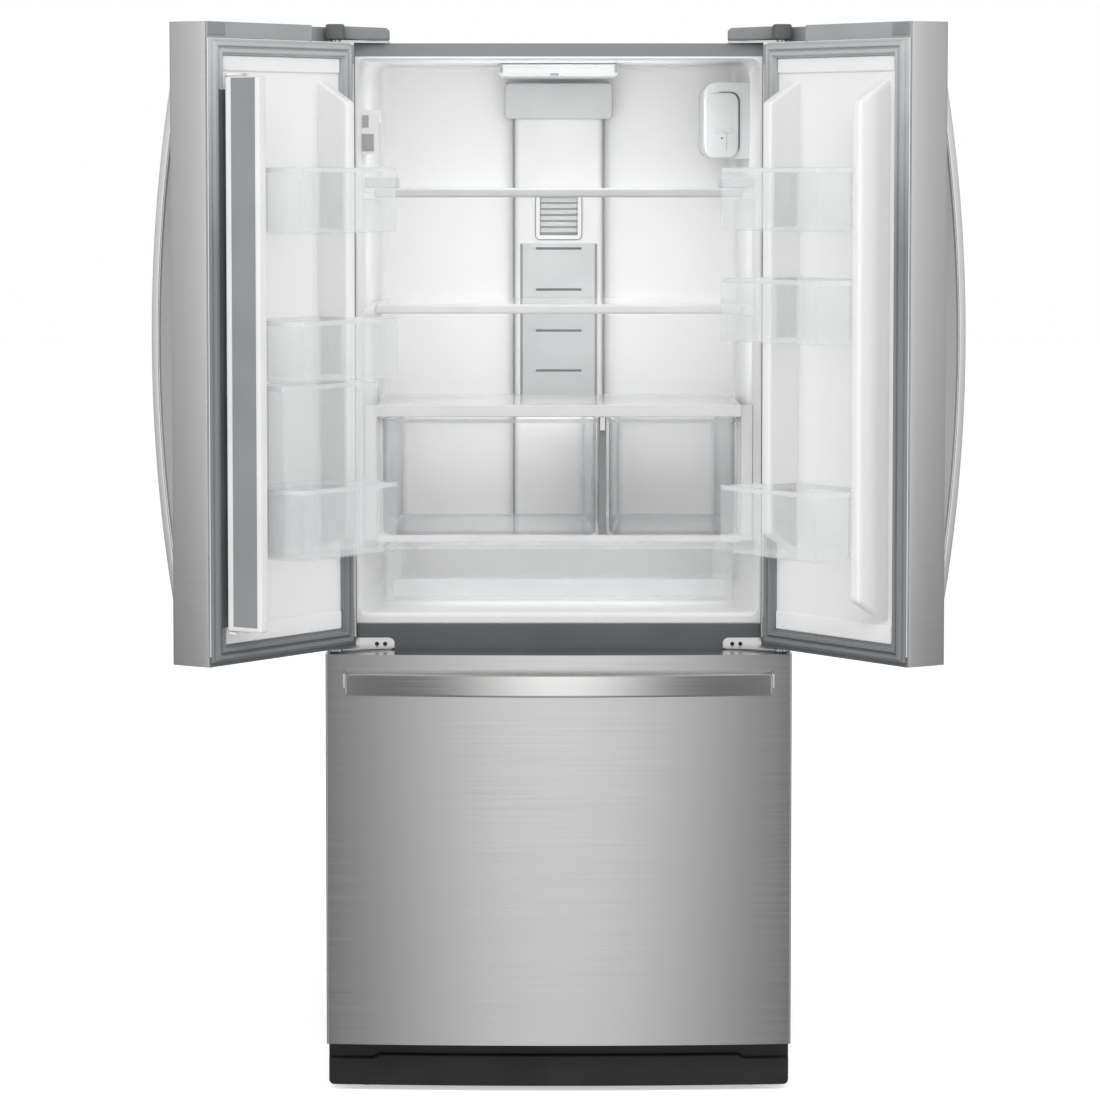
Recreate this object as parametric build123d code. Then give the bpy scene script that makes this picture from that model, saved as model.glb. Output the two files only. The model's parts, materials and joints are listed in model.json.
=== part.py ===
from build123d import *
import math
import os

# French door refrigerator with a bottom freezer drawer, doors standing open.
# Millimetres. X to the right, Y from the front to the back, Z up from the floor.
# It is drawn with the cabinet's front flange at Y = 0 and the doors shut, then the
# doors are swung to their rest angle and the whole is centred over its origin.

# Cabinet
WIDTH = 746.0
DEPTH = 683.0
CABINET_TOP = 1690.0
BOX_BOTTOM = 62.0
SIDE_FOOT = 25.0
SHEET = 1.0
TOP_FLANGE = 24.0
SIDE_FLANGE = 50.5

# Linings of the two compartments
LINER_WALL = 3.0
FRESH_FLOOR_RISE = 54.0
BACK_INSULATION = 83.0
FRESH_DRAFT = 14.5
LIP_HEIGHT = 4.0
LIP_DEPTH = 25.0
FRONT_APRON = 12.0
APRON_THICKNESS = 4.0
FREEZER_FLOOR = 140.0
FREEZER_TOP_DROP = 44.0
STEP_LENGTH = 253.0
STEP_TOP = 330.0
STEP_INSULATION = 45.0
RAIL_DEPTH = 20.0
RAIL_SHEET = 2.0

# Shelves and drawers of the fresh food compartment
SHELF_FRONT = 140.0
SHELF_BACK_GAP = 45.0
SHELF_SIDE_GAP = 22.5
SHELF_SHARES = (0.6305, 0.293)
GLASS = 4.0
TRIM_HEIGHT = 15.0
TRIM_DEPTH = 16.0
TRIM_LIP = 2.0
TRIM_GRIP = 8.0
LEDGE_WIDTH = 10.0
LEDGE_HEIGHT = 12.0
DECK_RISE = 119.0
DRAWER_DECK = 11.0
CRISPER_RISE = 310.0
CRISPER_SIDE_GAP = 10.0
CRISPER_BACK_GAP = 20.0
CRISPER_COVER_RISE = 333.0
COVER_BEAM = 19.0
COVER_FRAME = 12.0
FRAME_SIDE = 6.0
DIVIDER_X = 72.0
DIVIDER_WIDTH = 12.0
DIVIDER_GAP = 4.0
BIN_WALL = 2.5
PANTRY_SIDE_GAP = 12.0
PANTRY_HEIGHT = 94.0
PANTRY_RUNNER = 8.0
RUNNER_WIDTH = 15.0
FINGER_WIDTH = 120.0
FINGER_DROP = 16.0
SLIDER_WIDTH = 8.0
SLIDER_DROP = 22.0
SLIDER_DEPTH = 8.0
SLIDER_STEM = 4.0
SLIDER_STEM_RISE = 8.0
SLIDER_TRAVEL = 5.0

# Air tower, controls, water filter and dispenser
TOWER_HALF = 85.0
TOWER_DEPTH = 36.0
TOWER_DROP = 92.0
TOWER_WALL = 2.5
TOWER_CAP_HALF = 98.0
TOWER_CAP_HEIGHT = 63.0
TOWER_CAP_DEPTH = 48.0
VENT_HALF = 42.0
VENT_SLOT = 5.0
VENT_DROP = 24.0
VENT_PITCH = 12.0
VENT_ROWS = 6
LOW_VENT_DROP = 112.0
LOW_VENT_PITCH = 74.0
LOW_VENT_ROWS = 4
CONTROL_HALF = 102.0
CONTROL_HEIGHT = 21.0
CONTROL_LENGTH = 195.0
CONTROL_BACK_GAP = 55.0
FILTER_REACH = 81.5
FILTER_RISE = 47.0
FILTER_DROP = 33.0
FILTER_LENGTH = 290.0
FILTER_BACK_GAP = 60.0
FILTER_ROUND = 22.0
DISPENSER_FRONT = 100.0
DISPENSER_LENGTH = 100.0
DISPENSER_REACH = 30.5
DISPENSER_RISE = 55.0
DISPENSER_HEIGHT = 72.0
POCKET_WALL = 18.0
POCKET_DEPTH = 21.0
POCKET_HEIGHT = 52.0
PADDLE_THICKNESS = 3.0
PADDLE_GAP = 3.0
PADDLE_DROP = 40.0
PADDLE_PIN = 2.0
PADDLE_PIN_END = 4.0

# Doors
DOOR_RISE = 25.0
DOOR_PLATE_GAP = 2.5
DOOR_GAP = 4.0
DOOR_STANDOFF = 13.0
DOOR_EDGE = 58.5
FRONT_BOW = 16.0
SKIN = 1.0
DOOR_LINER = 3.0
TOP_CAP = 25.0
BOTTOM_CAP = 16.0
REST_ANGLE = 124.8
PIN_INSET = 16.0
PIN_Y = -42.0
PIN_RADIUS = 5.0
PIN_CLEARANCE = 0.05
NOTCH_FRONT = -62.0
NOTCH_LENGTH = 110.0
NOTCH_DEPTH = 28.0
NOTCH_BLOCK = 32.0
BLOCK_EXTRA = 8.0
GASKET_INSET_HINGE = 17.0
GASKET_INSET_FREE = 9.0
GASKET_TOP_INSET = 26.0
GASKET_BOTTOM_INSET = 7.0
GASKET_WIDTH = 27.0
GASKET_BASE = 5.0
GASKET_STEP = 4.0
GASKET_GAP = 0.5
DYKE_HEIGHT = 58.0
DYKE_WIDTH = 25.0
DYKE_HINGE_INSET = 73.0
DYKE_FREE_INSET = 48.0
DYKE_TOP_INSET = 85.0
DYKE_SLOPE = 36.0
DYKE_RISE_HINGE = 154.0
DYKE_RISE_FREE = 64.0
BIN_REACH = 135.0
BIN_HINGE_INSET = 67.0
BIN_FREE_INSET = 60.0
BIN_BACK_GAP = 0.3
LEFT_BIN_SHARES = ((0.6735, 100.0), (0.443, 94.0), (0.167, 109.0))
RIGHT_BIN_SHARES = ((0.6765, 97.0), (0.5015, 98.0), (0.165, 106.0))

# Flip mullion on the free edge of the left door
MULLION_WIDTH = 66.0
MULLION_THICKNESS = 20.0
MULLION_RISE = 56.0
MULLION_TOP_INSET = 84.0
MULLION_INSET = 18.0
MULLION_STANDOFF = 20.0
MULLION_PIVOT = 3.5
MULLION_PIN = 3.0
MULLION_PIN_LENGTH = 10.0
MULLION_ARM = 6.0
MULLION_END_GAP = 1.0
MULLION_ARM_ROOT = 15.0
MULLION_ARM_INSET = 43.0

# Handles
HANDLE_WIDTH = 36.0
HANDLE_THICKNESS = 17.0
HANDLE_INSET = 45.0
HANDLE_RISE = 101.0
HANDLE_TOP_INSET = 104.0
HANDLE_STANDOFF = 30.0
HANDLE_BOW = 32.0
POST_LENGTH = 34.0
POST_SETBACK = 6.0
POST_WIDTH = 26.0
DRAWER_HANDLE_INSET = 33.0
DRAWER_HANDLE_DROP = 27.0
DRAWER_HANDLE_STANDOFF = 30.0
DRAWER_HANDLE_BOW = 14.0

# Hinges
HINGE_PLATE = 4.0
HINGE_LENGTH = 85.0
HINGE_BACK = 60.0
KNUCKLE = 11.0
KNUCKLE_SLANT = 5.0
TOP_PIN_LENGTH = 19.0
HINGE_COVER_HEIGHT = 25.0
COVER_WALL = 2.0
COVER_MARGIN = 1.5
CENTRE_PLATE_GAP = 3.5
CENTRE_PIN_LENGTH = 11.0
PIN_END_GAP = 2.0
CENTRE_FLANGE_HEIGHT = 16.0
CENTRE_FLANGE_LENGTH = 102.0
CENTRE_FLANGE_INSET = 7.0
HINGE_SCREW = 3.0
HINGE_SCREW_PITCH = 12.0

# Freezer drawer
DRAWER_BOTTOM = 86.0
DRAWER_TOP = 716.0
DRAWER_GASKET_INSET = 17.0
DRAWER_GASKET_DROP = 7.0
PAN_SIDE_GAP = 37.5
PAN_RISE = 40.0
PAN_DROP = 32.0
PAN_RAISE = 8.0
SLIDE_BOTTOM = 300.0
SLIDE_HEIGHT = 40.0
SLIDE_DEPTH = 18.0
SLIDE_WALL = 4.0
SLIDE_CLEARANCE = 1.0
SLIDE_FRONT = 8.0
SLIDE_BACK_GAP = 10.0
SLIDE_WEB = 15.0
BASKET_SIDE_GAP = 39.5
BASKET_RISE = 10.0
BASKET_BACK_GAP = 13.0
BASKET_START = 12.0
BASKET_RIM = 11.0
RIM_THICKNESS = 4.0
SEAT_GAP = 0.3
UPPER_LEDGE_RISE = 104.0
UPPER_LEDGE = 8.0
UPPER_LEDGE_WIDTH = 12.0
UPRIGHT_LENGTH = 30.0
UPRIGHT_WIDTH = 4.0
BASKET_END_GAP = 10.0
UPPER_BASKET_DROP = 32.0
UPPER_TRAVEL = 150.0

# Cooling system
EVAPORATOR_SPACE = 83.0
COVER_PLATE = 3.0
EVAPORATOR_SIDE_GAP = 92.5
EVAPORATOR_RISE = 30.0
EVAPORATOR_FAN_GAP = 68.0
EVAPORATOR_DEPTH = 50.0
FIN_PITCH = 20.0
FIN_SLOT = 16.0
FIN_WEB = 10.0
FREEZER_FAN_DROP = 64.0
FREEZER_FAN_RADIUS = 45.0
FAN_DEPTH = 14.0
FAN_HUB = 13.0
FAN_BLADES = 5
FAN_TIP_GAP = 5.0
FAN_SETBACK = 4.0
BLADE_THICKNESS = 2.5
BLADE_PITCH = 35.0
MOTOR_RADIUS = 22.0
MOTOR_LENGTH = 30.0
MOTOR_GAP = 4.0
SHAFT_RADIUS = 3.0
RETURN_SLOT_HALF = 60.0
RETURN_SLOT = 8.0
RETURN_SLOT_PITCH = 16.0
RETURN_SLOT_X = 120.0
RETURN_SLOT_ROWS = 3
MACHINE_FAN_RADIUS = 60.0
MACHINE_FAN_X = 20.0
MACHINE_BACK_GAP = 103.0
MACHINE_FAN_RISE = 78.0
MOTOR_STAND = 30.0
COMPRESSOR_INSET = 158.0
COMPRESSOR_RADIUS = 68.0
COMPRESSOR_HEIGHT = 140.0
COMPRESSOR_DOME = 30.0
COMPRESSOR_PLATE = 3.0
COMPRESSOR_FOOT = 10.0
COMPRESSOR_FOOT_RADIUS = 12.0
COMPRESSOR_FOOT_SPREAD = 66.0
CONDENSER_LENGTH = 240.0
CONDENSER_INSET = 33.0
CONDENSER_HEIGHT = 170.0
CONDENSER_DEPTH = 120.0
MACHINE_COVER = 3.0
COVER_SLOT = 6.0
COVER_SLOT_PITCH = 18.0
COVER_SLOT_HALF = 120.0
COVER_SLOT_ROWS = 6
CORD_HOLE = 9.0
CORD_HOLE_INSET = 73.0
GLAND_WALL = 4.0
GLAND_REACH = 8.0

# Base, rollers, feet and toe grille
BASE_PLATE = 2.0
RAIL_BOTTOM = 12.0
RAIL_INSET = 7.0
RAIL_SPACING = 30.0
RAIL_START = 20.0
RAIL_BACK_GAP = 23.0
ROLLER_RADIUS = 20.0
ROLLER_WIDTH = 22.0
ROLLER_LIFT = 1.0
ROLLER_TREAD = 3.0
FRONT_ROLLER_Y = 110.0
REAR_ROLLER_INSET = 63.0
AXLE_RADIUS = 4.0
AXLE_CLEARANCE = 0.05
MEMBER_DEPTH = 40.0
MEMBER_HEIGHT = 20.0
FOOT_INSET = 63.0
FOOT_RADIUS = 18.0
FOOT_HEIGHT = 8.0
FOOT_STEM = 6.0
STEM_TOP_GAP = 2.0
GRILLE_FRONT = -20.0
GRILLE_WALL = 3.0
GRILLE_INSET = 1.0
GRILLE_BOTTOM = 10.0
GRILLE_DROP = 2.0
GRILLE_NOTCH = 76.0
GRILLE_NOTCH_DROP = 6.0
CLIP_HALF = 15.0
CLIP_DROP = 18.0
CLIP_HEIGHT = 8.0
CLIP_SPACING = 280.0

# Worked out from the sizes above
HALF = WIDTH / 2
OPENING_HALF = HALF - SIDE_FLANGE
FRESH_TOP = CABINET_TOP - TOP_FLANGE
INNER_PLANE = -DOOR_STANDOFF
FRONT_RADIUS = (HALF**2 + FRONT_BOW**2) / (2 * FRONT_BOW)
FRONT_CENTRE_Y = INNER_PLANE - DOOR_EDGE - FRONT_BOW + FRONT_RADIUS
FREE_EDGE = -DOOR_GAP / 2

# Depths of the compartments and what ends before their back walls
FRESH_DEPTH = DEPTH - BACK_INSULATION
FREEZER_DEPTH = DEPTH - BACK_INSULATION
STEP_START = DEPTH - STEP_LENGTH
SHELF_BACK = FRESH_DEPTH - SHELF_BACK_GAP
CRISPER_LENGTH = SHELF_BACK - SHELF_FRONT - TRIM_LIP - CRISPER_BACK_GAP
CONTROL_BACK = FRESH_DEPTH - CONTROL_BACK_GAP
CONTROL_FRONT = CONTROL_BACK - CONTROL_LENGTH
FILTER_BACK = FRESH_DEPTH - FILTER_BACK_GAP
FILTER_FRONT = FILTER_BACK - FILTER_LENGTH
COVER_PLATE_FRONT = FREEZER_DEPTH - EVAPORATOR_SPACE
SLIDE_END = STEP_START - SLIDE_BACK_GAP
BASKET_LENGTH = STEP_START - BASKET_BACK_GAP - BASKET_START
UPPER_BASKET_LENGTH = COVER_PLATE_FRONT - BASKET_START - UPPER_TRAVEL - BASKET_END_GAP
MACHINE_Y = DEPTH - MACHINE_BACK_GAP
RAIL_END = DEPTH - RAIL_BACK_GAP
REAR_ROLLER_Y = DEPTH - REAR_ROLLER_INSET

# Half widths
SHELF_HALF = OPENING_HALF - SHELF_SIDE_GAP
CRISPER_HALF = SHELF_HALF - CRISPER_SIDE_GAP
PANTRY_HALF = SHELF_HALF - PANTRY_SIDE_GAP
FILTER_INNER = OPENING_HALF - FILTER_REACH
DISPENSER_INNER = OPENING_HALF - DISPENSER_REACH
PAN_HALF = OPENING_HALF - PAN_SIDE_GAP
BASKET_HALF = OPENING_HALF - BASKET_SIDE_GAP
EVAPORATOR_HALF = OPENING_HALF - EVAPORATOR_SIDE_GAP
PIN_X = HALF - PIN_INSET
DRAWER_HANDLE_HALF = HALF - DRAWER_HANDLE_INSET
CENTRE_FLANGE_OUTER = HALF - CENTRE_FLANGE_INSET
CENTRE_FLANGE_INNER = CENTRE_FLANGE_OUTER - CENTRE_FLANGE_LENGTH
COMPRESSOR_X = COMPRESSOR_INSET - HALF
CONDENSER_END = HALF - CONDENSER_INSET
CONDENSER_START = CONDENSER_END - CONDENSER_LENGTH
CORD_HOLE_X = HALF - CORD_HOLE_INSET
RAIL_OUTER = HALF - RAIL_INSET
FOOT_X = HALF - FOOT_INSET
GRILLE_HALF = HALF - GRILLE_INSET

# Heights, from the drawer front up to the top of the doors
CENTRE_PLATE_BOTTOM = DRAWER_TOP + CENTRE_PLATE_GAP
DOOR_BOTTOM = CENTRE_PLATE_BOTTOM + HINGE_PLATE + DOOR_PLATE_GAP
DOOR_TOP = CABINET_TOP + DOOR_RISE
DOOR_HEIGHT = DOOR_TOP - DOOR_BOTTOM
FREEZER_TOP = DRAWER_TOP - FREEZER_TOP_DROP
FRESH_FLOOR = DRAWER_TOP + FRESH_FLOOR_RISE
DRAWER_DECK_TOP = FRESH_FLOOR + DECK_RISE
CRISPER_TOP = FRESH_FLOOR + CRISPER_RISE
CRISPER_COVER_TOP = FRESH_FLOOR + CRISPER_COVER_RISE
SHELF_ROOM = FRESH_TOP - CRISPER_COVER_TOP
SHELF_TOPS = [CRISPER_COVER_TOP + share * SHELF_ROOM for share in SHELF_SHARES]
TOWER_TOP = FRESH_TOP - TOWER_DROP
FILTER_BOTTOM = SHELF_TOPS[0] + FILTER_RISE
FILTER_TOP = FRESH_TOP - FILTER_DROP
DISPENSER_BOTTOM = SHELF_TOPS[0] + DISPENSER_RISE
VENT_SLOTS = [SHELF_TOPS[0] - VENT_DROP - row * VENT_PITCH for row in range(VENT_ROWS)]
VENT_SLOTS += [SHELF_TOPS[0] - LOW_VENT_DROP - row * LOW_VENT_PITCH for row in range(LOW_VENT_ROWS)]
NOTCH_FLOOR = DOOR_TOP - NOTCH_DEPTH
GASKET_TOP = DOOR_TOP - GASKET_TOP_INSET
GASKET_BOTTOM = DOOR_BOTTOM + GASKET_BOTTOM_INSET
DYKE_TOP = DOOR_TOP - DYKE_TOP_INSET
DYKE_BOTTOM_HINGE = DOOR_BOTTOM + DYKE_RISE_HINGE
DYKE_BOTTOM_FREE = DOOR_BOTTOM + DYKE_RISE_FREE
MULLION_BOTTOM = DOOR_BOTTOM + MULLION_RISE
MULLION_TOP = DOOR_TOP - MULLION_TOP_INSET
HANDLE_BOTTOM = DOOR_BOTTOM + HANDLE_RISE
HANDLE_TOP = DOOR_TOP - HANDLE_TOP_INSET
DRAWER_HANDLE_TOP = DRAWER_TOP - DRAWER_HANDLE_DROP
HINGE_COVER_TOP = CABINET_TOP + HINGE_PLATE + HINGE_COVER_HEIGHT
PAN_BOTTOM = FREEZER_FLOOR + PAN_RISE
PAN_TOP = FREEZER_TOP - PAN_DROP
BASKET_FLOOR = FREEZER_FLOOR + BASKET_RISE
UPPER_LEDGE_BOTTOM = SLIDE_BOTTOM + UPPER_LEDGE_RISE
UPPER_BASKET_TOP = FREEZER_TOP - UPPER_BASKET_DROP
FREEZER_FAN_Z = FREEZER_TOP - FREEZER_FAN_DROP
EVAPORATOR_BOTTOM = STEP_TOP + EVAPORATOR_RISE
EVAPORATOR_TOP = FREEZER_FAN_Z - EVAPORATOR_FAN_GAP
MACHINE_FAN_Z = BOX_BOTTOM + MACHINE_FAN_RISE
GRILLE_TOP = BOX_BOTTOM - GRILLE_DROP
CLIP_BOTTOM = BOX_BOTTOM - CLIP_DROP

# Room that a cutting block runs past what it cuts
CUT = 5.0


def block(x0, x1, y0, y1, z0, z1):
    """Box between two opposite corners."""
    centre = Pos((x0 + x1) / 2, (y0 + y1) / 2, (z0 + z1) / 2)
    return centre * Box(abs(x1 - x0), abs(y1 - y0), abs(z1 - z0))


def plan_prism(points, z0, z1):
    """Outline seen from above, raised from z0 to z1."""
    face = make_face(Polyline(*points, close=True))
    return extrude(Pos(0, 0, z0) * face, z1 - z0, dir=(0, 0, 1))


def side_prism(points, x0, x1):
    """Outline of (y, z) points seen from the side, drawn out from x0 to x1."""
    face = Plane.YZ * make_face(Polyline(*points, close=True))
    return extrude(Pos(x0, 0, 0) * face, x1 - x0, dir=(1, 0, 0))


def upright(x, y, z0, z1, radius):
    """Round bar standing on Z."""
    return Pos(x, y, (z0 + z1) / 2) * Cylinder(radius, z1 - z0)


def crossbar(y, z, x0, x1, radius):
    """Round bar lying along X."""
    return Pos((x0 + x1) / 2, y, z) * Rot(0, 90, 0) * Cylinder(radius, x1 - x0)


def rearbar(x, z, y0, y1, radius):
    """Round bar lying along Y."""
    return Pos(x, (y0 + y1) / 2, z) * Rot(90, 0, 0) * Cylinder(radius, y1 - y0)


def both_sides(shape):
    """The shape and its mirror image across the middle of the cabinet."""
    return [shape, mirror(shape, Plane.YZ)]


def open_bin(x0, x1, y0, y1, z0, z1, wall):
    """Tray with four walls and a floor."""
    inside = block(x0 + wall, x1 - wall, y0 + wall, y1 - wall, z0 + wall, z1 + CUT)
    return block(x0, x1, y0, y1, z0, z1) - inside


def finned_block(x0, x1, y0, y1, z0, z1):
    """Heat exchanger: flat fins on both sides of a middle web."""
    middle = (y0 + y1) / 2
    body = block(x0, x1, y0, y1, z0, z1)
    count = round((x1 - x0) / FIN_PITCH)
    first = x0 + (x1 - x0 - (count - 1) * FIN_PITCH) / 2
    slots = []
    for index in range(count):
        x = first + index * FIN_PITCH
        left, right = x - FIN_SLOT / 2, x + FIN_SLOT / 2
        slots.append(block(left, right, y0 - CUT, middle - FIN_WEB / 2, z0 + FIN_WEB, z1 + CUT))
        slots.append(block(left, right, middle + FIN_WEB / 2, y1 + CUT, z0 + FIN_WEB, z1 + CUT))
    return body - slots


def fan_wheel(radius):
    """Axial fan on Z: a bored hub with pitched blades."""
    hub = Cylinder(FAN_HUB, FAN_DEPTH)
    blade_length = radius - FAN_HUB / 2
    blade = Box(blade_length, BLADE_THICKNESS, FAN_DEPTH)
    blade = Pos(FAN_HUB / 2 + blade_length / 2, 0, 0) * Rot(BLADE_PITCH, 0, 0) * blade
    blades = [Rot(0, 0, 360 / FAN_BLADES * index) * blade for index in range(FAN_BLADES)]
    bore = Cylinder(SHAFT_RADIUS + AXLE_CLEARANCE, 2 * FAN_DEPTH)
    trim = Cylinder(radius, FAN_DEPTH)
    return ((hub + blades) & trim) - bore


def wall_x(y):
    """Half width of the fresh food lining at a depth, narrowing to the back."""
    return OPENING_HALF - FRESH_DRAFT * y / FRESH_DEPTH


def front_y(x, inset):
    """Bowed front surface of doors and drawer, or the same set in by a wall."""
    return FRONT_CENTRE_Y - math.sqrt((FRONT_RADIUS - inset) ** 2 - x**2)


def bowed_slab(x0, x1, inset, back, z0, z1):
    """Door body between two sides, with the bowed front and a flat back."""
    points = [(x, front_y(x, inset)) for x in (x0, (x0 + x1) / 2, x1)]
    arc = ThreePointArc(*points)
    sides = Polyline(points[2], (x1, back), (x0, back), points[0])
    face = make_face([*arc.edges(), *sides.edges()])
    return extrude(Pos(0, 0, z0) * face, z1 - z0, dir=(0, 0, 1))


def gasket_ring(x0, x1, z0, z1):
    """Door seal: a wide foot and a narrower magnet bead, facing the cabinet."""
    foot = (INNER_PLANE, INNER_PLANE + GASKET_BASE, 0)
    bead = (INNER_PLANE + GASKET_BASE, -GASKET_GAP, GASKET_STEP)
    rings = []
    for y0, y1, step in (foot, bead):
        outer = block(x0 + step, x1 - step, y0, y1, z0 + step, z1 - step)
        edge = GASKET_WIDTH - step
        rings.append(outer - block(x0 + edge, x1 - edge, y0 - CUT, y1 + CUT, z0 + edge, z1 - edge))
    return rings[0] + rings[1]


def bowed_bar(length, bow, thickness):
    """Outline of a bowed handle bar: ends at zero, middle at the bow, outer side first."""
    half = length / 2
    radius = (half**2 + bow**2) / (2 * bow)
    drop = radius - math.sqrt((radius - thickness) ** 2 - half**2) - bow
    outer = ThreePointArc((-half, 0), (0, bow), (half, 0))
    inner = ThreePointArc((half, -drop), (0, bow - thickness), (-half, -drop))
    ends = [Line((half, 0), (half, -drop)), Line((-half, -drop), (-half, 0))]
    return make_face([outer.edge(), ends[0].edge(), inner.edge(), ends[1].edge()])


nodes = {}

# Painted steel wrapper: top, two sides and the front flange, folded from one sheet
shell_opening_half = OPENING_HALF + LINER_WALL
shell = block(-HALF, HALF, 0, DEPTH, SIDE_FOOT, CABINET_TOP)
shell -= block(SHEET - HALF, HALF - SHEET, SHEET, DEPTH + CUT, SIDE_FOOT - CUT, CABINET_TOP - SHEET)
shell -= block(
    -shell_opening_half,
    shell_opening_half,
    -CUT,
    SHEET + CUT,
    FREEZER_FLOOR - LINER_WALL,
    FRESH_TOP + LINER_WALL,
)
shell -= block(SHEET - HALF, HALF - SHEET, -CUT, SHEET + CUT, SIDE_FOOT - CUT, BOX_BOTTOM)
nodes["cabinet_shell"] = [shell]

# Fresh food lining with shelf ledges, drawer runners and a rolled front lip
apron_bottom = FRESH_FLOOR - FRONT_APRON
cavity_half = OPENING_HALF
back_half = wall_x(FRESH_DEPTH)
fresh_cavity = plan_prism(
    [
        (-cavity_half, -CUT),
        (cavity_half, -CUT),
        (cavity_half, 0),
        (back_half, FRESH_DEPTH),
        (-back_half, FRESH_DEPTH),
        (-cavity_half, 0),
    ],
    FRESH_FLOOR,
    FRESH_TOP,
)
fresh_outer = plan_prism(
    [
        (-cavity_half - LINER_WALL, 0),
        (cavity_half + LINER_WALL, 0),
        (back_half + LINER_WALL, FRESH_DEPTH + LINER_WALL),
        (-back_half - LINER_WALL, FRESH_DEPTH + LINER_WALL),
    ],
    FRESH_FLOOR - LINER_WALL,
    FRESH_TOP + LINER_WALL,
)
apron = block(
    -shell_opening_half, shell_opening_half, 0, APRON_THICKNESS, apron_bottom, FRESH_FLOOR - LINER_WALL
)
deck_bottom = DRAWER_DECK_TOP - DRAWER_DECK
glass_bottoms = [top - TRIM_LIP - GLASS for top in SHELF_TOPS]
ledge_inner = SHELF_HALF - LEDGE_WIDTH
ledges = []
for top in [*glass_bottoms, deck_bottom]:
    shelf_ledge = block(ledge_inner, HALF, SHELF_FRONT + TRIM_DEPTH, SHELF_BACK, top - LEDGE_HEIGHT, top)
    ledges += [ledge & fresh_outer for ledge in both_sides(shelf_ledge)]
runner_outer = PANTRY_HALF - BIN_WALL
pantry_runner = block(
    runner_outer - RUNNER_WIDTH,
    runner_outer,
    LIP_DEPTH,
    SHELF_BACK,
    FRESH_FLOOR - LINER_WALL,
    FRESH_FLOOR + PANTRY_RUNNER,
)
lip = block(-cavity_half, cavity_half, 0, LIP_DEPTH, FRESH_FLOOR - LINER_WALL, FRESH_FLOOR + LIP_HEIGHT)
fresh_liner = fresh_outer - fresh_cavity + ledges + both_sides(pantry_runner) + lip + apron
nodes["fresh_food_liner"] = [fresh_liner]

# Freezer lining, stepped up at the back over the machine compartment
freezer_cavity = side_prism(
    [
        (-CUT, FREEZER_FLOOR),
        (STEP_START, FREEZER_FLOOR),
        (STEP_START, STEP_TOP),
        (FREEZER_DEPTH, STEP_TOP),
        (FREEZER_DEPTH, FREEZER_TOP),
        (-CUT, FREEZER_TOP),
    ],
    -OPENING_HALF,
    OPENING_HALF,
)
freezer_outer = side_prism(
    [
        (0, FREEZER_FLOOR - LINER_WALL),
        (STEP_START + LINER_WALL, FREEZER_FLOOR - LINER_WALL),
        (STEP_START + LINER_WALL, STEP_TOP - LINER_WALL),
        (FREEZER_DEPTH + LINER_WALL, STEP_TOP - LINER_WALL),
        (FREEZER_DEPTH + LINER_WALL, FREEZER_TOP + LINER_WALL),
        (0, FREEZER_TOP + LINER_WALL),
    ],
    -shell_opening_half,
    shell_opening_half,
)
nodes["freezer_liner"] = [freezer_outer - freezer_cavity]

# Steel channel across the front between the compartments
rail_bottom = FREEZER_TOP + LINER_WALL
rail_space = block(-shell_opening_half, shell_opening_half, 0, RAIL_DEPTH, rail_bottom, apron_bottom)
rail_hollow = block(
    -HALF, HALF, RAIL_SHEET, RAIL_DEPTH + CUT, rail_bottom + RAIL_SHEET, apron_bottom - RAIL_SHEET
)
nodes["divider_rail"] = [rail_space - rail_hollow]

# Rigid foam poured between the wrapper and the linings
machine_front = STEP_START + LINER_WALL + STEP_INSULATION
machine_top = STEP_TOP - LINER_WALL - STEP_INSULATION
back_inside = DEPTH - SHEET
foam = block(SHEET - HALF, HALF - SHEET, SHEET, back_inside, BOX_BOTTOM, CABINET_TOP - SHEET)
foam -= [fresh_outer, apron, freezer_outer, rail_space]
foam -= block(-HALF, HALF, machine_front, DEPTH + CUT, BOX_BOTTOM - CUT, machine_top)
nodes["cabinet_foam"] = [foam]
nodes["back_panel"] = [
    block(SHEET - HALF, HALF - SHEET, back_inside, DEPTH, machine_top, CABINET_TOP - SHEET)
]

# Steel base: pan, roller rails with axle pins, and the front member for the feet
base_top = BOX_BOTTOM
base_bottom = base_top - BASE_PLATE
rail_inner = RAIL_OUTER - RAIL_SPACING
roller_x = (RAIL_OUTER + rail_inner) / 2
roller_axles = ((FRONT_ROLLER_Y, ROLLER_RADIUS + ROLLER_LIFT), (REAR_ROLLER_Y, ROLLER_RADIUS))
member_back = RAIL_START + MEMBER_DEPTH
foot_y = RAIL_START + MEMBER_DEPTH / 2
member_bottom = base_bottom - MEMBER_HEIGHT
base_frame = block(SHEET - HALF, HALF - SHEET, SHEET, back_inside, base_bottom, base_top)
side_rails = []
for x in (rail_inner, RAIL_OUTER - RAIL_SHEET):
    side_rails += both_sides(block(x, x + RAIL_SHEET, RAIL_START, RAIL_END, RAIL_BOTTOM, base_bottom))
for y, z in roller_axles:
    side_rails += both_sides(crossbar(y, z, rail_inner, RAIL_OUTER, AXLE_RADIUS))
front_member = block(-rail_inner, rail_inner, RAIL_START, member_back, member_bottom, base_bottom)
front_member -= both_sides(
    upright(FOOT_X, foot_y, member_bottom - CUT, base_bottom - STEM_TOP_GAP, FOOT_STEM + AXLE_CLEARANCE)
)
base_frame = base_frame + side_rails + front_member
nodes["base_frame"] = [base_frame]

foot = upright(FOOT_X, foot_y, 0, FOOT_HEIGHT, FOOT_RADIUS)
foot += upright(FOOT_X, foot_y, FOOT_HEIGHT, base_bottom - STEM_TOP_GAP, FOOT_STEM)
nodes["levelling_feet"] = both_sides(foot)

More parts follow.
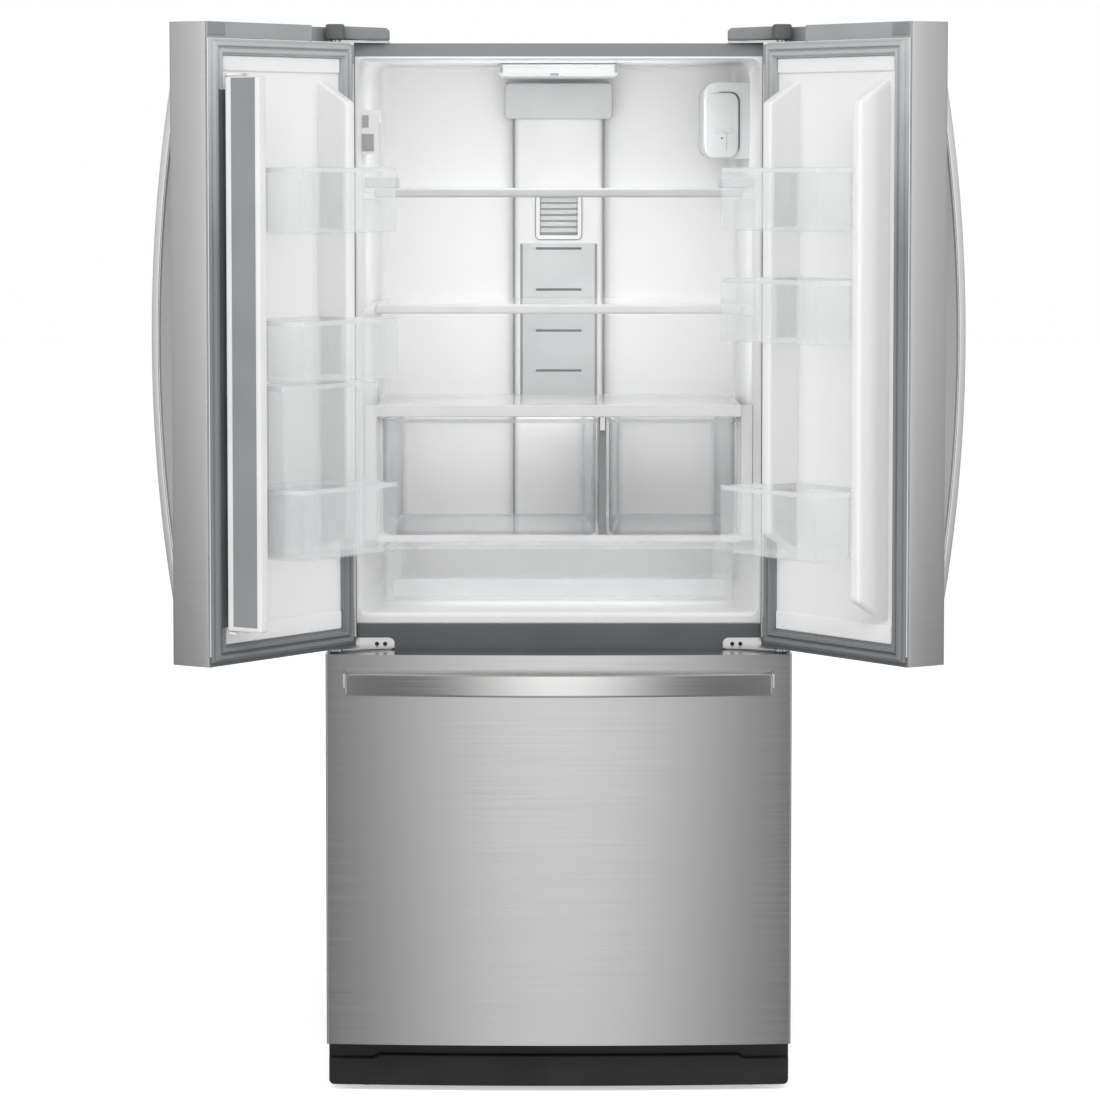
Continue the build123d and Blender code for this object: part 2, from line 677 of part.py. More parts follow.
for name, (y, z) in zip(("front_rollers", "rear_rollers"), roller_axles):
    roller = crossbar(y, z, roller_x - ROLLER_WIDTH / 2, roller_x + ROLLER_WIDTH / 2, ROLLER_RADIUS)
    roller = chamfer(roller.edges().filter_by(GeomType.CIRCLE), ROLLER_TREAD)
    roller -= crossbar(y, z, rail_inner, RAIL_OUTER, AXLE_RADIUS + AXLE_CLEARANCE)
    nodes[name] = both_sides(roller)

# Toe grille, clipped to the front member, lower at both ends
grille = block(-GRILLE_HALF, GRILLE_HALF, GRILLE_FRONT, GRILLE_FRONT + GRILLE_WALL, GRILLE_BOTTOM, GRILLE_TOP)
grille -= both_sides(
    block(
        GRILLE_HALF - GRILLE_NOTCH,
        GRILLE_HALF + CUT,
        GRILLE_FRONT - CUT,
        0,
        GRILLE_TOP - GRILLE_NOTCH_DROP,
        GRILLE_TOP + CUT,
    )
)
for x in (-CLIP_SPACING, 0, CLIP_SPACING):
    grille += block(
        x - CLIP_HALF, x + CLIP_HALF, GRILLE_FRONT, RAIL_START, CLIP_BOTTOM, CLIP_BOTTOM + CLIP_HEIGHT
    )
nodes["toe_grille"] = [grille]

# Glass shelves in front trims, resting on the ledges of the lining
shelves, trims = [], []
for top, glass_bottom in zip(SHELF_TOPS, glass_bottoms):
    trim_back = SHELF_FRONT + TRIM_DEPTH
    pane_front = trim_back - TRIM_GRIP
    pane = block(-SHELF_HALF, SHELF_HALF, pane_front, SHELF_BACK, glass_bottom, glass_bottom + GLASS)
    trim = block(-SHELF_HALF, SHELF_HALF, SHELF_FRONT, trim_back, top - TRIM_HEIGHT, top)
    shelves.append(pane)
    trims.append(trim - pane)
nodes["glass_shelves"] = shelves
nodes["shelf_trims"] = trims

# Crisper frame: deck, side walls, middle divider and the beams that hold its glass cover
beam_bottom = CRISPER_COVER_TOP - COVER_BEAM
cover_back = SHELF_BACK - CUT
beam_back = SHELF_FRONT + TRIM_DEPTH
divider_front = SHELF_FRONT + SLIDER_DEPTH + TRIM_LIP
cover_bottom = CRISPER_COVER_TOP - TRIM_LIP - GLASS
frame_inner = SHELF_HALF - FRAME_SIDE
deck = block(-SHELF_HALF, SHELF_HALF, SHELF_FRONT, cover_back, deck_bottom, DRAWER_DECK_TOP)
front_beam = block(-SHELF_HALF, SHELF_HALF, SHELF_FRONT, beam_back, beam_bottom, CRISPER_COVER_TOP)
rear_beam = block(-SHELF_HALF, SHELF_HALF, cover_back - COVER_FRAME, cover_back, beam_bottom, cover_bottom)
side_wall = block(frame_inner, SHELF_HALF, beam_back, cover_back, DRAWER_DECK_TOP, cover_bottom)
divider = block(
    DIVIDER_X - DIVIDER_WIDTH / 2,
    DIVIDER_X + DIVIDER_WIDTH / 2,
    divider_front,
    cover_back,
    DRAWER_DECK_TOP,
    cover_bottom,
)
stem_front = SHELF_FRONT + SLIDER_DEPTH / 2 - SLIDER_STEM / 2
slider_slot_half = SLIDER_WIDTH / 2 + SLIDER_TRAVEL + SEAT_GAP
slider_slot = block(
    DIVIDER_X - slider_slot_half,
    DIVIDER_X + slider_slot_half,
    stem_front - SEAT_GAP,
    stem_front + SLIDER_STEM + SEAT_GAP,
    beam_bottom - CUT,
    beam_bottom + SLIDER_STEM_RISE + SEAT_GAP,
)
nodes["crisper_frame"] = [deck + front_beam + rear_beam + both_sides(side_wall) + divider - slider_slot]
nodes["crisper_cover"] = [
    block(-SHELF_HALF, SHELF_HALF, beam_back, cover_back, cover_bottom, cover_bottom + GLASS)
]

# Humidity slider between the crispers, with its stem in the beam's slot
slider_half = SLIDER_WIDTH / 2
slider_tab = block(
    DIVIDER_X - slider_half,
    DIVIDER_X + slider_half,
    SHELF_FRONT,
    SHELF_FRONT + SLIDER_DEPTH,
    beam_bottom - SEAT_GAP - SLIDER_DROP,
    beam_bottom - SEAT_GAP,
)
slider_stem = block(
    DIVIDER_X - slider_half,
    DIVIDER_X + slider_half,
    stem_front,
    stem_front + SLIDER_STEM,
    beam_bottom - SEAT_GAP - CUT,
    beam_bottom + SLIDER_STEM_RISE,
)
nodes["humidity_slider"] = [slider_tab + slider_stem]


def clear_drawer(x0, x1, z0, z1):
    """Clear drawer with a finger cut-out in the top of its front."""
    y0 = SHELF_FRONT + TRIM_LIP
    middle = (x0 + x1) / 2
    finger = block(
        middle - FINGER_WIDTH / 2,
        middle + FINGER_WIDTH / 2,
        y0 - CUT,
        y0 + BIN_WALL + CUT,
        z1 - FINGER_DROP,
        z1 + CUT,
    )
    return open_bin(x0, x1, y0, y0 + CRISPER_LENGTH, z0, z1, BIN_WALL) - finger


crisper_floor = DRAWER_DECK_TOP + SEAT_GAP
crisper_clear = DIVIDER_WIDTH / 2 + DIVIDER_GAP
pantry_floor = FRESH_FLOOR + PANTRY_RUNNER + SEAT_GAP
nodes["crisper_left"] = [clear_drawer(-CRISPER_HALF, DIVIDER_X - crisper_clear, crisper_floor, CRISPER_TOP)]
nodes["crisper_right"] = [clear_drawer(DIVIDER_X + crisper_clear, CRISPER_HALF, crisper_floor, CRISPER_TOP)]
nodes["pantry_drawer"] = [
    clear_drawer(-PANTRY_HALF, PANTRY_HALF, pantry_floor, pantry_floor + PANTRY_HEIGHT)
]

# Air tower on the back wall: hollow duct with slots and a wider cap
tower_front = FRESH_DEPTH - TOWER_DEPTH
cap_front = FRESH_DEPTH - TOWER_CAP_DEPTH
tower_foot = DRAWER_DECK_TOP
tower = block(-TOWER_HALF, TOWER_HALF, tower_front, FRESH_DEPTH, tower_foot, TOWER_TOP)
tower += block(
    -TOWER_CAP_HALF, TOWER_CAP_HALF, cap_front, FRESH_DEPTH, TOWER_TOP, TOWER_TOP + TOWER_CAP_HEIGHT
)
tower -= block(
    TOWER_WALL - TOWER_HALF,
    TOWER_HALF - TOWER_WALL,
    tower_front + TOWER_WALL,
    FRESH_DEPTH + CUT,
    tower_foot + TOWER_WALL,
    TOWER_TOP - TOWER_WALL,
)
for z in VENT_SLOTS:
    tower -= block(-VENT_HALF, VENT_HALF, tower_front - CUT, tower_front + TOWER_WALL + CUT, z - VENT_SLOT, z)
nodes["air_tower"] = [tower]

nodes["control_housing"] = [
    block(-CONTROL_HALF, CONTROL_HALF, CONTROL_FRONT, CONTROL_BACK, FRESH_TOP - CONTROL_HEIGHT, FRESH_TOP)
]

# Water filter housing against the right wall, its inner corners rounded
filter_body = plan_prism(
    [
        (FILTER_INNER, FILTER_FRONT),
        (wall_x(FILTER_FRONT), FILTER_FRONT),
        (wall_x(FILTER_BACK), FILTER_BACK),
        (FILTER_INNER, FILTER_BACK),
    ],
    FILTER_BOTTOM,
    FILTER_TOP,
)
inner_edges = filter_body.edges().filter_by(Axis.Y).sort_by(Axis.X)[:2]
nodes["filter_housing"] = [fillet(inner_edges, FILTER_ROUND)]

# Water dispenser on the left wall, with a hinged paddle in its pocket
dispenser_back = DISPENSER_FRONT + DISPENSER_LENGTH
pocket_front = DISPENSER_FRONT + POCKET_WALL
pocket_back = dispenser_back - POCKET_WALL
pocket_x = -DISPENSER_INNER - POCKET_DEPTH
pocket_top = DISPENSER_BOTTOM + POCKET_HEIGHT
paddle_x = -DISPENSER_INNER - POCKET_DEPTH / 2
paddle_z = pocket_top - 2 * PADDLE_PIN - PADDLE_GAP
dispenser = plan_prism(
    [
        (-wall_x(DISPENSER_FRONT), DISPENSER_FRONT),
        (-DISPENSER_INNER, DISPENSER_FRONT),
        (-DISPENSER_INNER, dispenser_back),
        (-wall_x(dispenser_back), dispenser_back),
    ],
    DISPENSER_BOTTOM,
    DISPENSER_BOTTOM + DISPENSER_HEIGHT,
)
dispenser -= block(
    pocket_x, CUT - DISPENSER_INNER, pocket_front, pocket_back, DISPENSER_BOTTOM - CUT, pocket_top
)
pin_front = pocket_front - PADDLE_PIN_END
pin_back = pocket_back + PADDLE_PIN_END
dispenser -= rearbar(
    paddle_x, paddle_z, pin_front - PADDLE_GAP, pin_back + PADDLE_GAP, PADDLE_PIN + AXLE_CLEARANCE
)
nodes["dispenser_housing"] = [dispenser]
paddle = rearbar(paddle_x, paddle_z, pin_front, pin_back, PADDLE_PIN)
paddle += block(
    paddle_x - PADDLE_THICKNESS / 2,
    paddle_x + PADDLE_THICKNESS / 2,
    pocket_front + PADDLE_GAP,
    pocket_back - PADDLE_GAP,
    paddle_z - PADDLE_DROP,
    paddle_z,
)
nodes["dispenser_paddle"] = [paddle]

# Freezer back: evaporator, its fan and motor, and the cover plate in front of them
fan_front = COVER_PLATE_FRONT + COVER_PLATE + FAN_SETBACK
fan_back = fan_front + FAN_DEPTH
motor_front = fan_back + MOTOR_GAP
evaporator_front = FREEZER_DEPTH - EVAPORATOR_DEPTH
cover_plate = block(
    -OPENING_HALF, OPENING_HALF, COVER_PLATE_FRONT, COVER_PLATE_FRONT + COVER_PLATE, STEP_TOP, FREEZER_TOP
)
cover_plate -= rearbar(
    0, FREEZER_FAN_Z, COVER_PLATE_FRONT - CUT, fan_front, FREEZER_FAN_RADIUS + FAN_TIP_GAP
)
for row in range(RETURN_SLOT_ROWS):
    z = STEP_TOP + (row + 1) * RETURN_SLOT_PITCH
    for x in (-RETURN_SLOT_X, RETURN_SLOT_X):
        cover_plate -= block(
            x - RETURN_SLOT_HALF, x + RETURN_SLOT_HALF, COVER_PLATE_FRONT - CUT, fan_front, z, z + RETURN_SLOT
        )
nodes["evaporator_cover"] = [cover_plate]
nodes["evaporator"] = [
    finned_block(
        -EVAPORATOR_HALF, EVAPORATOR_HALF, evaporator_front, FREEZER_DEPTH, EVAPORATOR_BOTTOM, EVAPORATOR_TOP
    )
]
fan_middle = (fan_front + fan_back) / 2
nodes["evaporator_fan"] = [
    Pos(0, fan_middle, FREEZER_FAN_Z) * Rot(90, 0, 0) * fan_wheel(FREEZER_FAN_RADIUS)
]
freezer_motor = rearbar(0, FREEZER_FAN_Z, motor_front, motor_front + MOTOR_LENGTH, MOTOR_RADIUS)
freezer_motor += rearbar(0, FREEZER_FAN_Z, motor_front + MOTOR_LENGTH, FREEZER_DEPTH, MOTOR_RADIUS / 2)
freezer_motor += rearbar(0, FREEZER_FAN_Z, fan_front, motor_front, SHAFT_RADIUS)

# Machine compartment: compressor, condenser, fan and motor on the base pan, and the rear cover
machine_fan_end = MACHINE_FAN_X + FAN_DEPTH
machine_motor_end = MACHINE_FAN_X - MOTOR_GAP
machine_motor = crossbar(
    MACHINE_Y, MACHINE_FAN_Z, machine_motor_end - MOTOR_LENGTH, machine_motor_end, MOTOR_RADIUS
)
machine_motor += crossbar(MACHINE_Y, MACHINE_FAN_Z, machine_motor_end, machine_fan_end, SHAFT_RADIUS)
machine_motor += block(
    machine_motor_end - MOTOR_LENGTH,
    machine_motor_end - MOTOR_GAP,
    MACHINE_Y - MOTOR_STAND / 2,
    MACHINE_Y + MOTOR_STAND / 2,
    base_top,
    MACHINE_FAN_Z,
)
nodes["fan_motors"] = [freezer_motor, machine_motor]
nodes["condenser_fan"] = [
    Pos(MACHINE_FAN_X + FAN_DEPTH / 2, MACHINE_Y, MACHINE_FAN_Z)
    * Rot(0, 90, 0)
    * fan_wheel(MACHINE_FAN_RADIUS)
]
plate_bottom = base_top + COMPRESSOR_FOOT
plate_top = plate_bottom + COMPRESSOR_PLATE
can = upright(COMPRESSOR_X, MACHINE_Y, plate_top, plate_top + COMPRESSOR_HEIGHT, COMPRESSOR_RADIUS)
compressor = fillet(can.edges().filter_by(GeomType.CIRCLE).sort_by(Axis.Z)[-1], COMPRESSOR_DOME)
foot_reach = COMPRESSOR_FOOT_SPREAD + COMPRESSOR_FOOT_RADIUS
compressor += block(
    COMPRESSOR_X - foot_reach,
    COMPRESSOR_X + foot_reach,
    MACHINE_Y - foot_reach,
    MACHINE_Y + foot_reach,
    plate_bottom,
    plate_top,
)
for dx in (-COMPRESSOR_FOOT_SPREAD, COMPRESSOR_FOOT_SPREAD):
    for dy in (-COMPRESSOR_FOOT_SPREAD, COMPRESSOR_FOOT_SPREAD):
        compressor += upright(
            COMPRESSOR_X + dx, MACHINE_Y + dy, base_top, plate_bottom, COMPRESSOR_FOOT_RADIUS
        )
nodes["compressor"] = [compressor]
nodes["condenser"] = [
    finned_block(
        CONDENSER_START,
        CONDENSER_END,
        MACHINE_Y - CONDENSER_DEPTH / 2,
        MACHINE_Y + CONDENSER_DEPTH / 2,
        base_top,
        base_top + CONDENSER_HEIGHT,
    )
]
machine_cover = block(SHEET - HALF, HALF - SHEET, DEPTH - MACHINE_COVER, DEPTH, base_top, machine_top)
cover_middle = (base_top + machine_top) / 2
first_row = cover_middle - (COVER_SLOT_ROWS - 1) * COVER_SLOT_PITCH / 2
for row in range(COVER_SLOT_ROWS):
    z = first_row + row * COVER_SLOT_PITCH
    machine_cover -= block(
        -COVER_SLOT_HALF,
        COVER_SLOT_HALF,
        DEPTH - MACHINE_COVER - CUT,
        DEPTH + CUT,
        z - COVER_SLOT / 2,
        z + COVER_SLOT / 2,
    )
machine_cover += rearbar(
    CORD_HOLE_X, cover_middle, DEPTH - MACHINE_COVER, DEPTH + GLAND_REACH, CORD_HOLE + GLAND_WALL
)
machine_cover -= rearbar(
    CORD_HOLE_X, cover_middle, DEPTH - MACHINE_COVER - CUT, DEPTH + GLAND_REACH + CUT, CORD_HOLE
)
nodes["machine_cover"] = [machine_cover]

# Top hinges: a plate on the cabinet reaching out to the pin, under a moulded cover
hinge_x = -PIN_X
hinge_end = hinge_x + HINGE_LENGTH


def hinge_outline(margin):
    """Plan of the top hinge left of the cabinet, grown by a margin round its edge."""
    knuckle = KNUCKLE + margin
    return [
        (hinge_x - knuckle, PIN_Y),
        (hinge_x + KNUCKLE_SLANT - margin, 0),
        (hinge_x + KNUCKLE_SLANT - margin, HINGE_BACK + margin),
        (hinge_end + margin, HINGE_BACK + margin),
        (hinge_end + margin, -margin),
        (hinge_x + knuckle, PIN_Y),
    ]


plate_top_z = CABINET_TOP + HINGE_PLATE
top_hinge = plan_prism(hinge_outline(0), CABINET_TOP, plate_top_z)
top_hinge += upright(hinge_x, PIN_Y, CABINET_TOP, plate_top_z, KNUCKLE)
top_hinge += upright(hinge_x, PIN_Y, CABINET_TOP - TOP_PIN_LENGTH, CABINET_TOP, PIN_RADIUS)
nodes["top_hinges"] = both_sides(top_hinge)
hinge_cover = plan_prism(hinge_outline(COVER_MARGIN), plate_top_z, HINGE_COVER_TOP)
hinge_cover += upright(hinge_x, PIN_Y, plate_top_z, HINGE_COVER_TOP, KNUCKLE + COVER_MARGIN)
cover_hollow = plan_prism(hinge_outline(-COVER_WALL), plate_top_z - CUT, HINGE_COVER_TOP - COVER_WALL)
nodes["hinge_covers"] = both_sides(hinge_cover - cover_hollow)

# Centre hinges: a flange screwed to the front, a plate below the door and its pin
centre_plate_top = CENTRE_PLATE_BOTTOM + HINGE_PLATE
flange_bottom = CENTRE_PLATE_BOTTOM - HINGE_PLATE
flange = block(
    -CENTRE_FLANGE_OUTER,
    -CENTRE_FLANGE_INNER,
    -HINGE_PLATE,
    0,
    flange_bottom,
    flange_bottom + CENTRE_FLANGE_HEIGHT,
)
screw_z = flange_bottom + CENTRE_FLANGE_HEIGHT / 2 + HINGE_PLATE / 2
for index in (1, 2):
    screw_x = -CENTRE_FLANGE_INNER - index * HINGE_SCREW_PITCH
    flange -= rearbar(screw_x, screw_z, -HINGE_PLATE - CUT, CUT, HINGE_SCREW)
arm = plan_prism(
    [
        (-CENTRE_FLANGE_OUTER, -HINGE_PLATE),
        (hinge_x - KNUCKLE, PIN_Y),
        (hinge_x + KNUCKLE, PIN_Y),
        (-CENTRE_FLANGE_INNER, -HINGE_PLATE),
    ],
    CENTRE_PLATE_BOTTOM,
    centre_plate_top,
)
centre_hinge = flange + arm + upright(hinge_x, PIN_Y, CENTRE_PLATE_BOTTOM, centre_plate_top, KNUCKLE)
centre_hinge += upright(hinge_x, PIN_Y, centre_plate_top, centre_plate_top + CENTRE_PIN_LENGTH, PIN_RADIUS)
nodes["centre_hinges"] = both_sides(centre_hinge)

# Left door, drawn shut. The right door is its mirror image
hinge_edge = -HALF
cap_bottom = DOOR_TOP - TOP_CAP
cap_top = DOOR_BOTTOM + BOTTOM_CAP
inside_hinge = hinge_edge + SKIN
inside_free = FREE_EDGE - SKIN
liner_back = INNER_PLANE - DOOR_LINER
block_end = hinge_edge + NOTCH_LENGTH + BLOCK_EXTRA
notch = block(
    hinge_edge - CUT, hinge_edge + NOTCH_LENGTH, NOTCH_FRONT, INNER_PLANE + CUT, NOTCH_FLOOR, DOOR_TOP + CUT
)
hinge_block = bowed_slab(
    inside_hinge, block_end, SKIN, INNER_PLANE, NOTCH_FLOOR - NOTCH_BLOCK, cap_bottom
)
door_skin = bowed_slab(hinge_edge, FREE_EDGE, 0, INNER_PLANE, DOOR_BOTTOM, DOOR_TOP)
door_skin -= bowed_slab(
    inside_hinge, inside_free, SKIN, INNER_PLANE + CUT, DOOR_BOTTOM - CUT, DOOR_TOP + CUT
)
door_skin -= notch
top_cap = bowed_slab(inside_hinge, inside_free, SKIN, INNER_PLANE, cap_bottom, DOOR_TOP) + hinge_block
pin_hole = PIN_RADIUS + PIN_CLEARANCE
top_cap -= [notch, upright(hinge_x, PIN_Y, CABINET_TOP - TOP_PIN_LENGTH - PIN_END_GAP, DOOR_TOP, pin_hole)]
bottom_cap = bowed_slab(inside_hinge, inside_free, SKIN, INNER_PLANE, DOOR_BOTTOM, cap_top)
pin_top = centre_plate_top + CENTRE_PIN_LENGTH + PIN_END_GAP
bottom_cap -= upright(hinge_x, PIN_Y, DOOR_BOTTOM - CUT, pin_top, pin_hole)
door_foam = bowed_slab(inside_hinge, inside_free, SKIN, liner_back, cap_top, cap_bottom) - hinge_block
door_gasket = gasket_ring(
    hinge_edge + GASKET_INSET_HINGE, FREE_EDGE - GASKET_INSET_FREE, GASKET_BOTTOM, GASKET_TOP
)

dyke_crest = INNER_PLANE + DYKE_HEIGHT
dyke_hinge = hinge_edge + DYKE_HINGE_INSET
dyke_free = FREE_EDGE - DYKE_FREE_INSET


def dyke(x0, x1, bottom):
    """Raised rib of the door lining, with sloped ends."""
    outline = [
        (liner_back, bottom),
        (INNER_PLANE, bottom),
        (dyke_crest, bottom + DYKE_SLOPE),
        (dyke_crest, DYKE_TOP - DYKE_SLOPE),
        (INNER_PLANE, DYKE_TOP),
        (liner_back, DYKE_TOP),
    ]
    return side_prism(outline, x0, x1)


door_liner = block(inside_hinge, inside_free, liner_back, INNER_PLANE, cap_top, cap_bottom) - hinge_block
door_liner += dyke(dyke_hinge, dyke_hinge + DYKE_WIDTH, DYKE_BOTTOM_HINGE)
door_liner += dyke(dyke_free - DYKE_WIDTH, dyke_free, DYKE_BOTTOM_FREE)


def door_bin(share, height):
    """Door bin at a share of the door's height: narrow between the ribs, wider in front of them."""
    z0 = DOOR_BOTTOM + share * DOOR_HEIGHT
    z1 = z0 + height
    back_x0, back_x1 = dyke_hinge + DYKE_WIDTH, dyke_free - DYKE_WIDTH
    front_x0, front_x1 = hinge_edge + BIN_HINGE_INSET, FREE_EDGE - BIN_FREE_INSET
    back_y, join_y = INNER_PLANE + BIN_BACK_GAP, dyke_crest + BIN_BACK_GAP
    front_wall = INNER_PLANE + BIN_REACH
    outer = block(back_x0, back_x1, back_y, join_y + BIN_WALL, z0, z1)
    outer += block(front_x0, front_x1, join_y, front_wall, z0, z1)
    wall, floor = BIN_WALL, z0 + BIN_WALL
    inner = block(back_x0 + wall, back_x1 - wall, back_y + wall, join_y + 2 * wall, floor, z1 + CUT)
    inner += block(front_x0 + wall, front_x1 - wall, join_y + wall, front_wall - wall, floor, z1 + CUT)
    return outer - inner


# Flip mullion folded back against the left door, turning on pins in two arms of the lining
mullion_x1 = FREE_EDGE - MULLION_INSET
mullion_x0 = mullion_x1 - MULLION_THICKNESS
mullion_y0 = INNER_PLANE + MULLION_STANDOFF
mullion_x = (mullion_x0 + mullion_x1) / 2
mullion_y = mullion_y0 + MULLION_PIVOT
mullion = block(
    mullion_x0, mullion_x1, mullion_y0, mullion_y0 + MULLION_WIDTH, MULLION_BOTTOM, MULLION_TOP
)
arm_root = FREE_EDGE - MULLION_ARM_INSET
arm_front = mullion_y - MULLION_THICKNESS / 2
arm_back = mullion_y + MULLION_THICKNESS / 2
pivots = []
for end, direction in ((MULLION_BOTTOM, -1), (MULLION_TOP, 1)):
    near = end + direction * MULLION_END_GAP
    far = near + direction * MULLION_ARM
    low, high = min(near, far), max(near, far)
    pivots.append(block(arm_root - MULLION_ARM_ROOT, arm_root, liner_back, arm_back, low, high))
    pivots.append(block(arm_root - MULLION_ARM_ROOT, mullion_x1, arm_front, arm_back, low, high))
    tip = end - direction * MULLION_PIN_LENGTH
    pivots.append(upright(mullion_x, mullion_y, min(near, tip), max(near, tip), MULLION_PIN))
    socket_end = end - direction * (MULLION_PIN_LENGTH + MULLION_END_GAP)
    mullion -= upright(
        mullion_x, mullion_y, min(near, socket_end), max(near, socket_end), MULLION_PIN + PIN_CLEARANCE
    )


def handle_posts(bar_span, place_post):
    """Two end posts of a handle, placed by a function of their near and far ends."""
    ends = []
    for side in (-1, 1):
        near = side * (bar_span / 2 - POST_SETBACK)
        ends.append(place_post(min(near, near - side * POST_LENGTH), max(near, near - side * POST_LENGTH)))
    return ends


# Bowed door handle on two end posts
handle_x = FREE_EDGE - HANDLE_INSET
handle_z = (HANDLE_BOTTOM + HANDLE_TOP) / 2
handle_face = front_y(handle_x, 0)
handle_span = HANDLE_TOP - HANDLE_BOTTOM
bar_plane = Plane(
    origin=(handle_x - HANDLE_WIDTH / 2, handle_face - HANDLE_STANDOFF, handle_z),
    x_dir=(0, 0, 1),
    z_dir=(1, 0, 0),
)
door_bar = extrude(
    bar_plane * bowed_bar(handle_span, HANDLE_BOW, HANDLE_THICKNESS), HANDLE_WIDTH, dir=(1, 0, 0)
)
door_body = bowed_slab(hinge_edge, FREE_EDGE, 0, INNER_PLANE, DOOR_BOTTOM, DOOR_TOP)


def door_post(low, high):
    """Post between the door skin and the handle bar."""
    post = block(
        handle_x - POST_WIDTH / 2,
        handle_x + POST_WIDTH / 2,
        handle_face - HANDLE_STANDOFF,
        handle_face + CUT,
        handle_z + low,
        handle_z + high,
    )
    return post - [door_bar, door_body]


door_posts = handle_posts(handle_span, door_post)
left_door = {
    "left_door_skin": [door_skin],
    "left_door_foam": [door_foam],
    "left_door_caps": [top_cap, bottom_cap],
    "left_door_liner": [door_liner + pivots],
    "left_door_gasket": [door_gasket],
    "left_door_bins": [door_bin(share, height) for share, height in LEFT_BIN_SHARES],
    "left_door_handle": [door_bar, *door_posts],
    "flip_mullion": [mullion],
}
right_door = {
    "right_door_skin": [door_skin],
    "right_door_foam": [door_foam],
    "right_door_caps": [top_cap, bottom_cap],
    "right_door_liner": [door_liner],
    "right_door_gasket": [door_gasket],
    "right_door_bins": [door_bin(share, height) for share, height in RIGHT_BIN_SHARES],
    "right_door_handle": [door_bar, *door_posts],
}
swing = Pos(hinge_x, PIN_Y, 0) * Rot(0, 0, -REST_ANGLE) * Pos(-hinge_x, -PIN_Y, 0)
for name, shapes in left_door.items():
    nodes[name] = [swing * shape for shape in shapes]
for name, shapes in right_door.items():
    nodes[name] = [mirror(swing * shape, Plane.YZ) for shape in shapes]

# Freezer drawer front: folded steel pan, foam, inner pan and seal
drawer_inside = HALF - SKIN
skin_top = DRAWER_TOP - SKIN
skin_bottom = DRAWER_BOTTOM + SKIN
drawer_body = bowed_slab(-HALF, HALF, 0, INNER_PLANE, DRAWER_BOTTOM, DRAWER_TOP)
drawer_skin = drawer_body - bowed_slab(
    -drawer_inside, drawer_inside, SKIN, INNER_PLANE + CUT, skin_bottom, skin_top
)
nodes["drawer_skin"] = [drawer_skin]
nodes["drawer_foam"] = [
    bowed_slab(-drawer_inside, drawer_inside, SKIN, liner_back, skin_bottom, skin_top)
]
pan_face = INNER_PLANE + PAN_RAISE
drawer_liner = block(-drawer_inside, drawer_inside, liner_back, INNER_PLANE, skin_bottom, skin_top)
drawer_liner += block(-PAN_HALF, PAN_HALF, INNER_PLANE, pan_face, PAN_BOTTOM, PAN_TOP)
nodes["drawer_liner"] = [drawer_liner]
gasket_half = HALF - DRAWER_GASKET_INSET
nodes["drawer_gasket"] = [
    gasket_ring(
        -gasket_half, gasket_half, DRAWER_BOTTOM + DRAWER_GASKET_INSET, DRAWER_TOP - DRAWER_GASKET_DROP
    )
]

# Bowed drawer handle on two end posts
drawer_handle_y = front_y(DRAWER_HANDLE_HALF, 0) - DRAWER_HANDLE_STANDOFF
drawer_bar_bottom = DRAWER_HANDLE_TOP - HANDLE_WIDTH
bar_bow = DRAWER_HANDLE_BOW + front_y(DRAWER_HANDLE_HALF, 0) - front_y(0, 0)
drawer_bar = bowed_bar(2 * DRAWER_HANDLE_HALF, bar_bow, HANDLE_THICKNESS)
drawer_bar = mirror(Pos(0, -drawer_handle_y, drawer_bar_bottom) * drawer_bar, Plane.XZ)
drawer_bar = extrude(drawer_bar, HANDLE_WIDTH, dir=(0, 0, 1))
post_rise = (HANDLE_WIDTH - POST_WIDTH) / 2


def drawer_post(left, right):
    """Post between the drawer front and its handle bar."""
    post = block(
        left,
        right,
        drawer_handle_y,
        front_y(HALF, 0),
        drawer_bar_bottom + post_rise,
        DRAWER_HANDLE_TOP - post_rise,
    )
    return post - [drawer_bar, drawer_body]


nodes["drawer_handle"] = [drawer_bar, *handle_posts(2 * DRAWER_HANDLE_HALF, drawer_post)]

# Freezer rails on the lining and the drawer's slides running in them
slide_top = SLIDE_BOTTOM + SLIDE_HEIGHT
channel_mouth = OPENING_HALF - SLIDE_DEPTH
channel = block(channel_mouth, OPENING_HALF, SLIDE_FRONT, SLIDE_END, SLIDE_BOTTOM, slide_top)
channel -= block(
    channel_mouth - CUT,
    OPENING_HALF - SLIDE_WALL,
    SLIDE_FRONT - CUT,
    SLIDE_END + CUT,
    SLIDE_BOTTOM + SLIDE_WALL,
    slide_top - SLIDE_WALL,
)
nodes["freezer_rails"] = both_sides(channel)
bar_bottom = SLIDE_BOTTOM + SLIDE_WALL + SEAT_GAP
bar_top = slide_top - SLIDE_WALL - SLIDE_CLEARANCE
bar_inner = channel_mouth - SLIDE_WEB
ledge_top = UPPER_LEDGE_BOTTOM + UPPER_LEDGE
upper_ledge_outer = channel_mouth - SLIDE_CLEARANCE
upper_ledge_inner = upper_ledge_outer - UPPER_LEDGE_WIDTH
slide = block(
    bar_inner, OPENING_HALF - SLIDE_WALL - SLIDE_CLEARANCE, SLIDE_FRONT, SLIDE_END, bar_bottom, bar_top
)
slide += block(bar_inner, upper_ledge_outer, INNER_PLANE, SLIDE_FRONT, bar_bottom, ledge_top)
slide += block(
    upper_ledge_inner, upper_ledge_outer, INNER_PLANE, SLIDE_END, UPPER_LEDGE_BOTTOM, ledge_top
)
slide += block(
    upper_ledge_outer - UPRIGHT_WIDTH,
    upper_ledge_outer,
    SLIDE_END - UPRIGHT_LENGTH,
    SLIDE_END,
    bar_top,
    UPPER_LEDGE_BOTTOM,
)
nodes["drawer_slides"] = both_sides(slide)

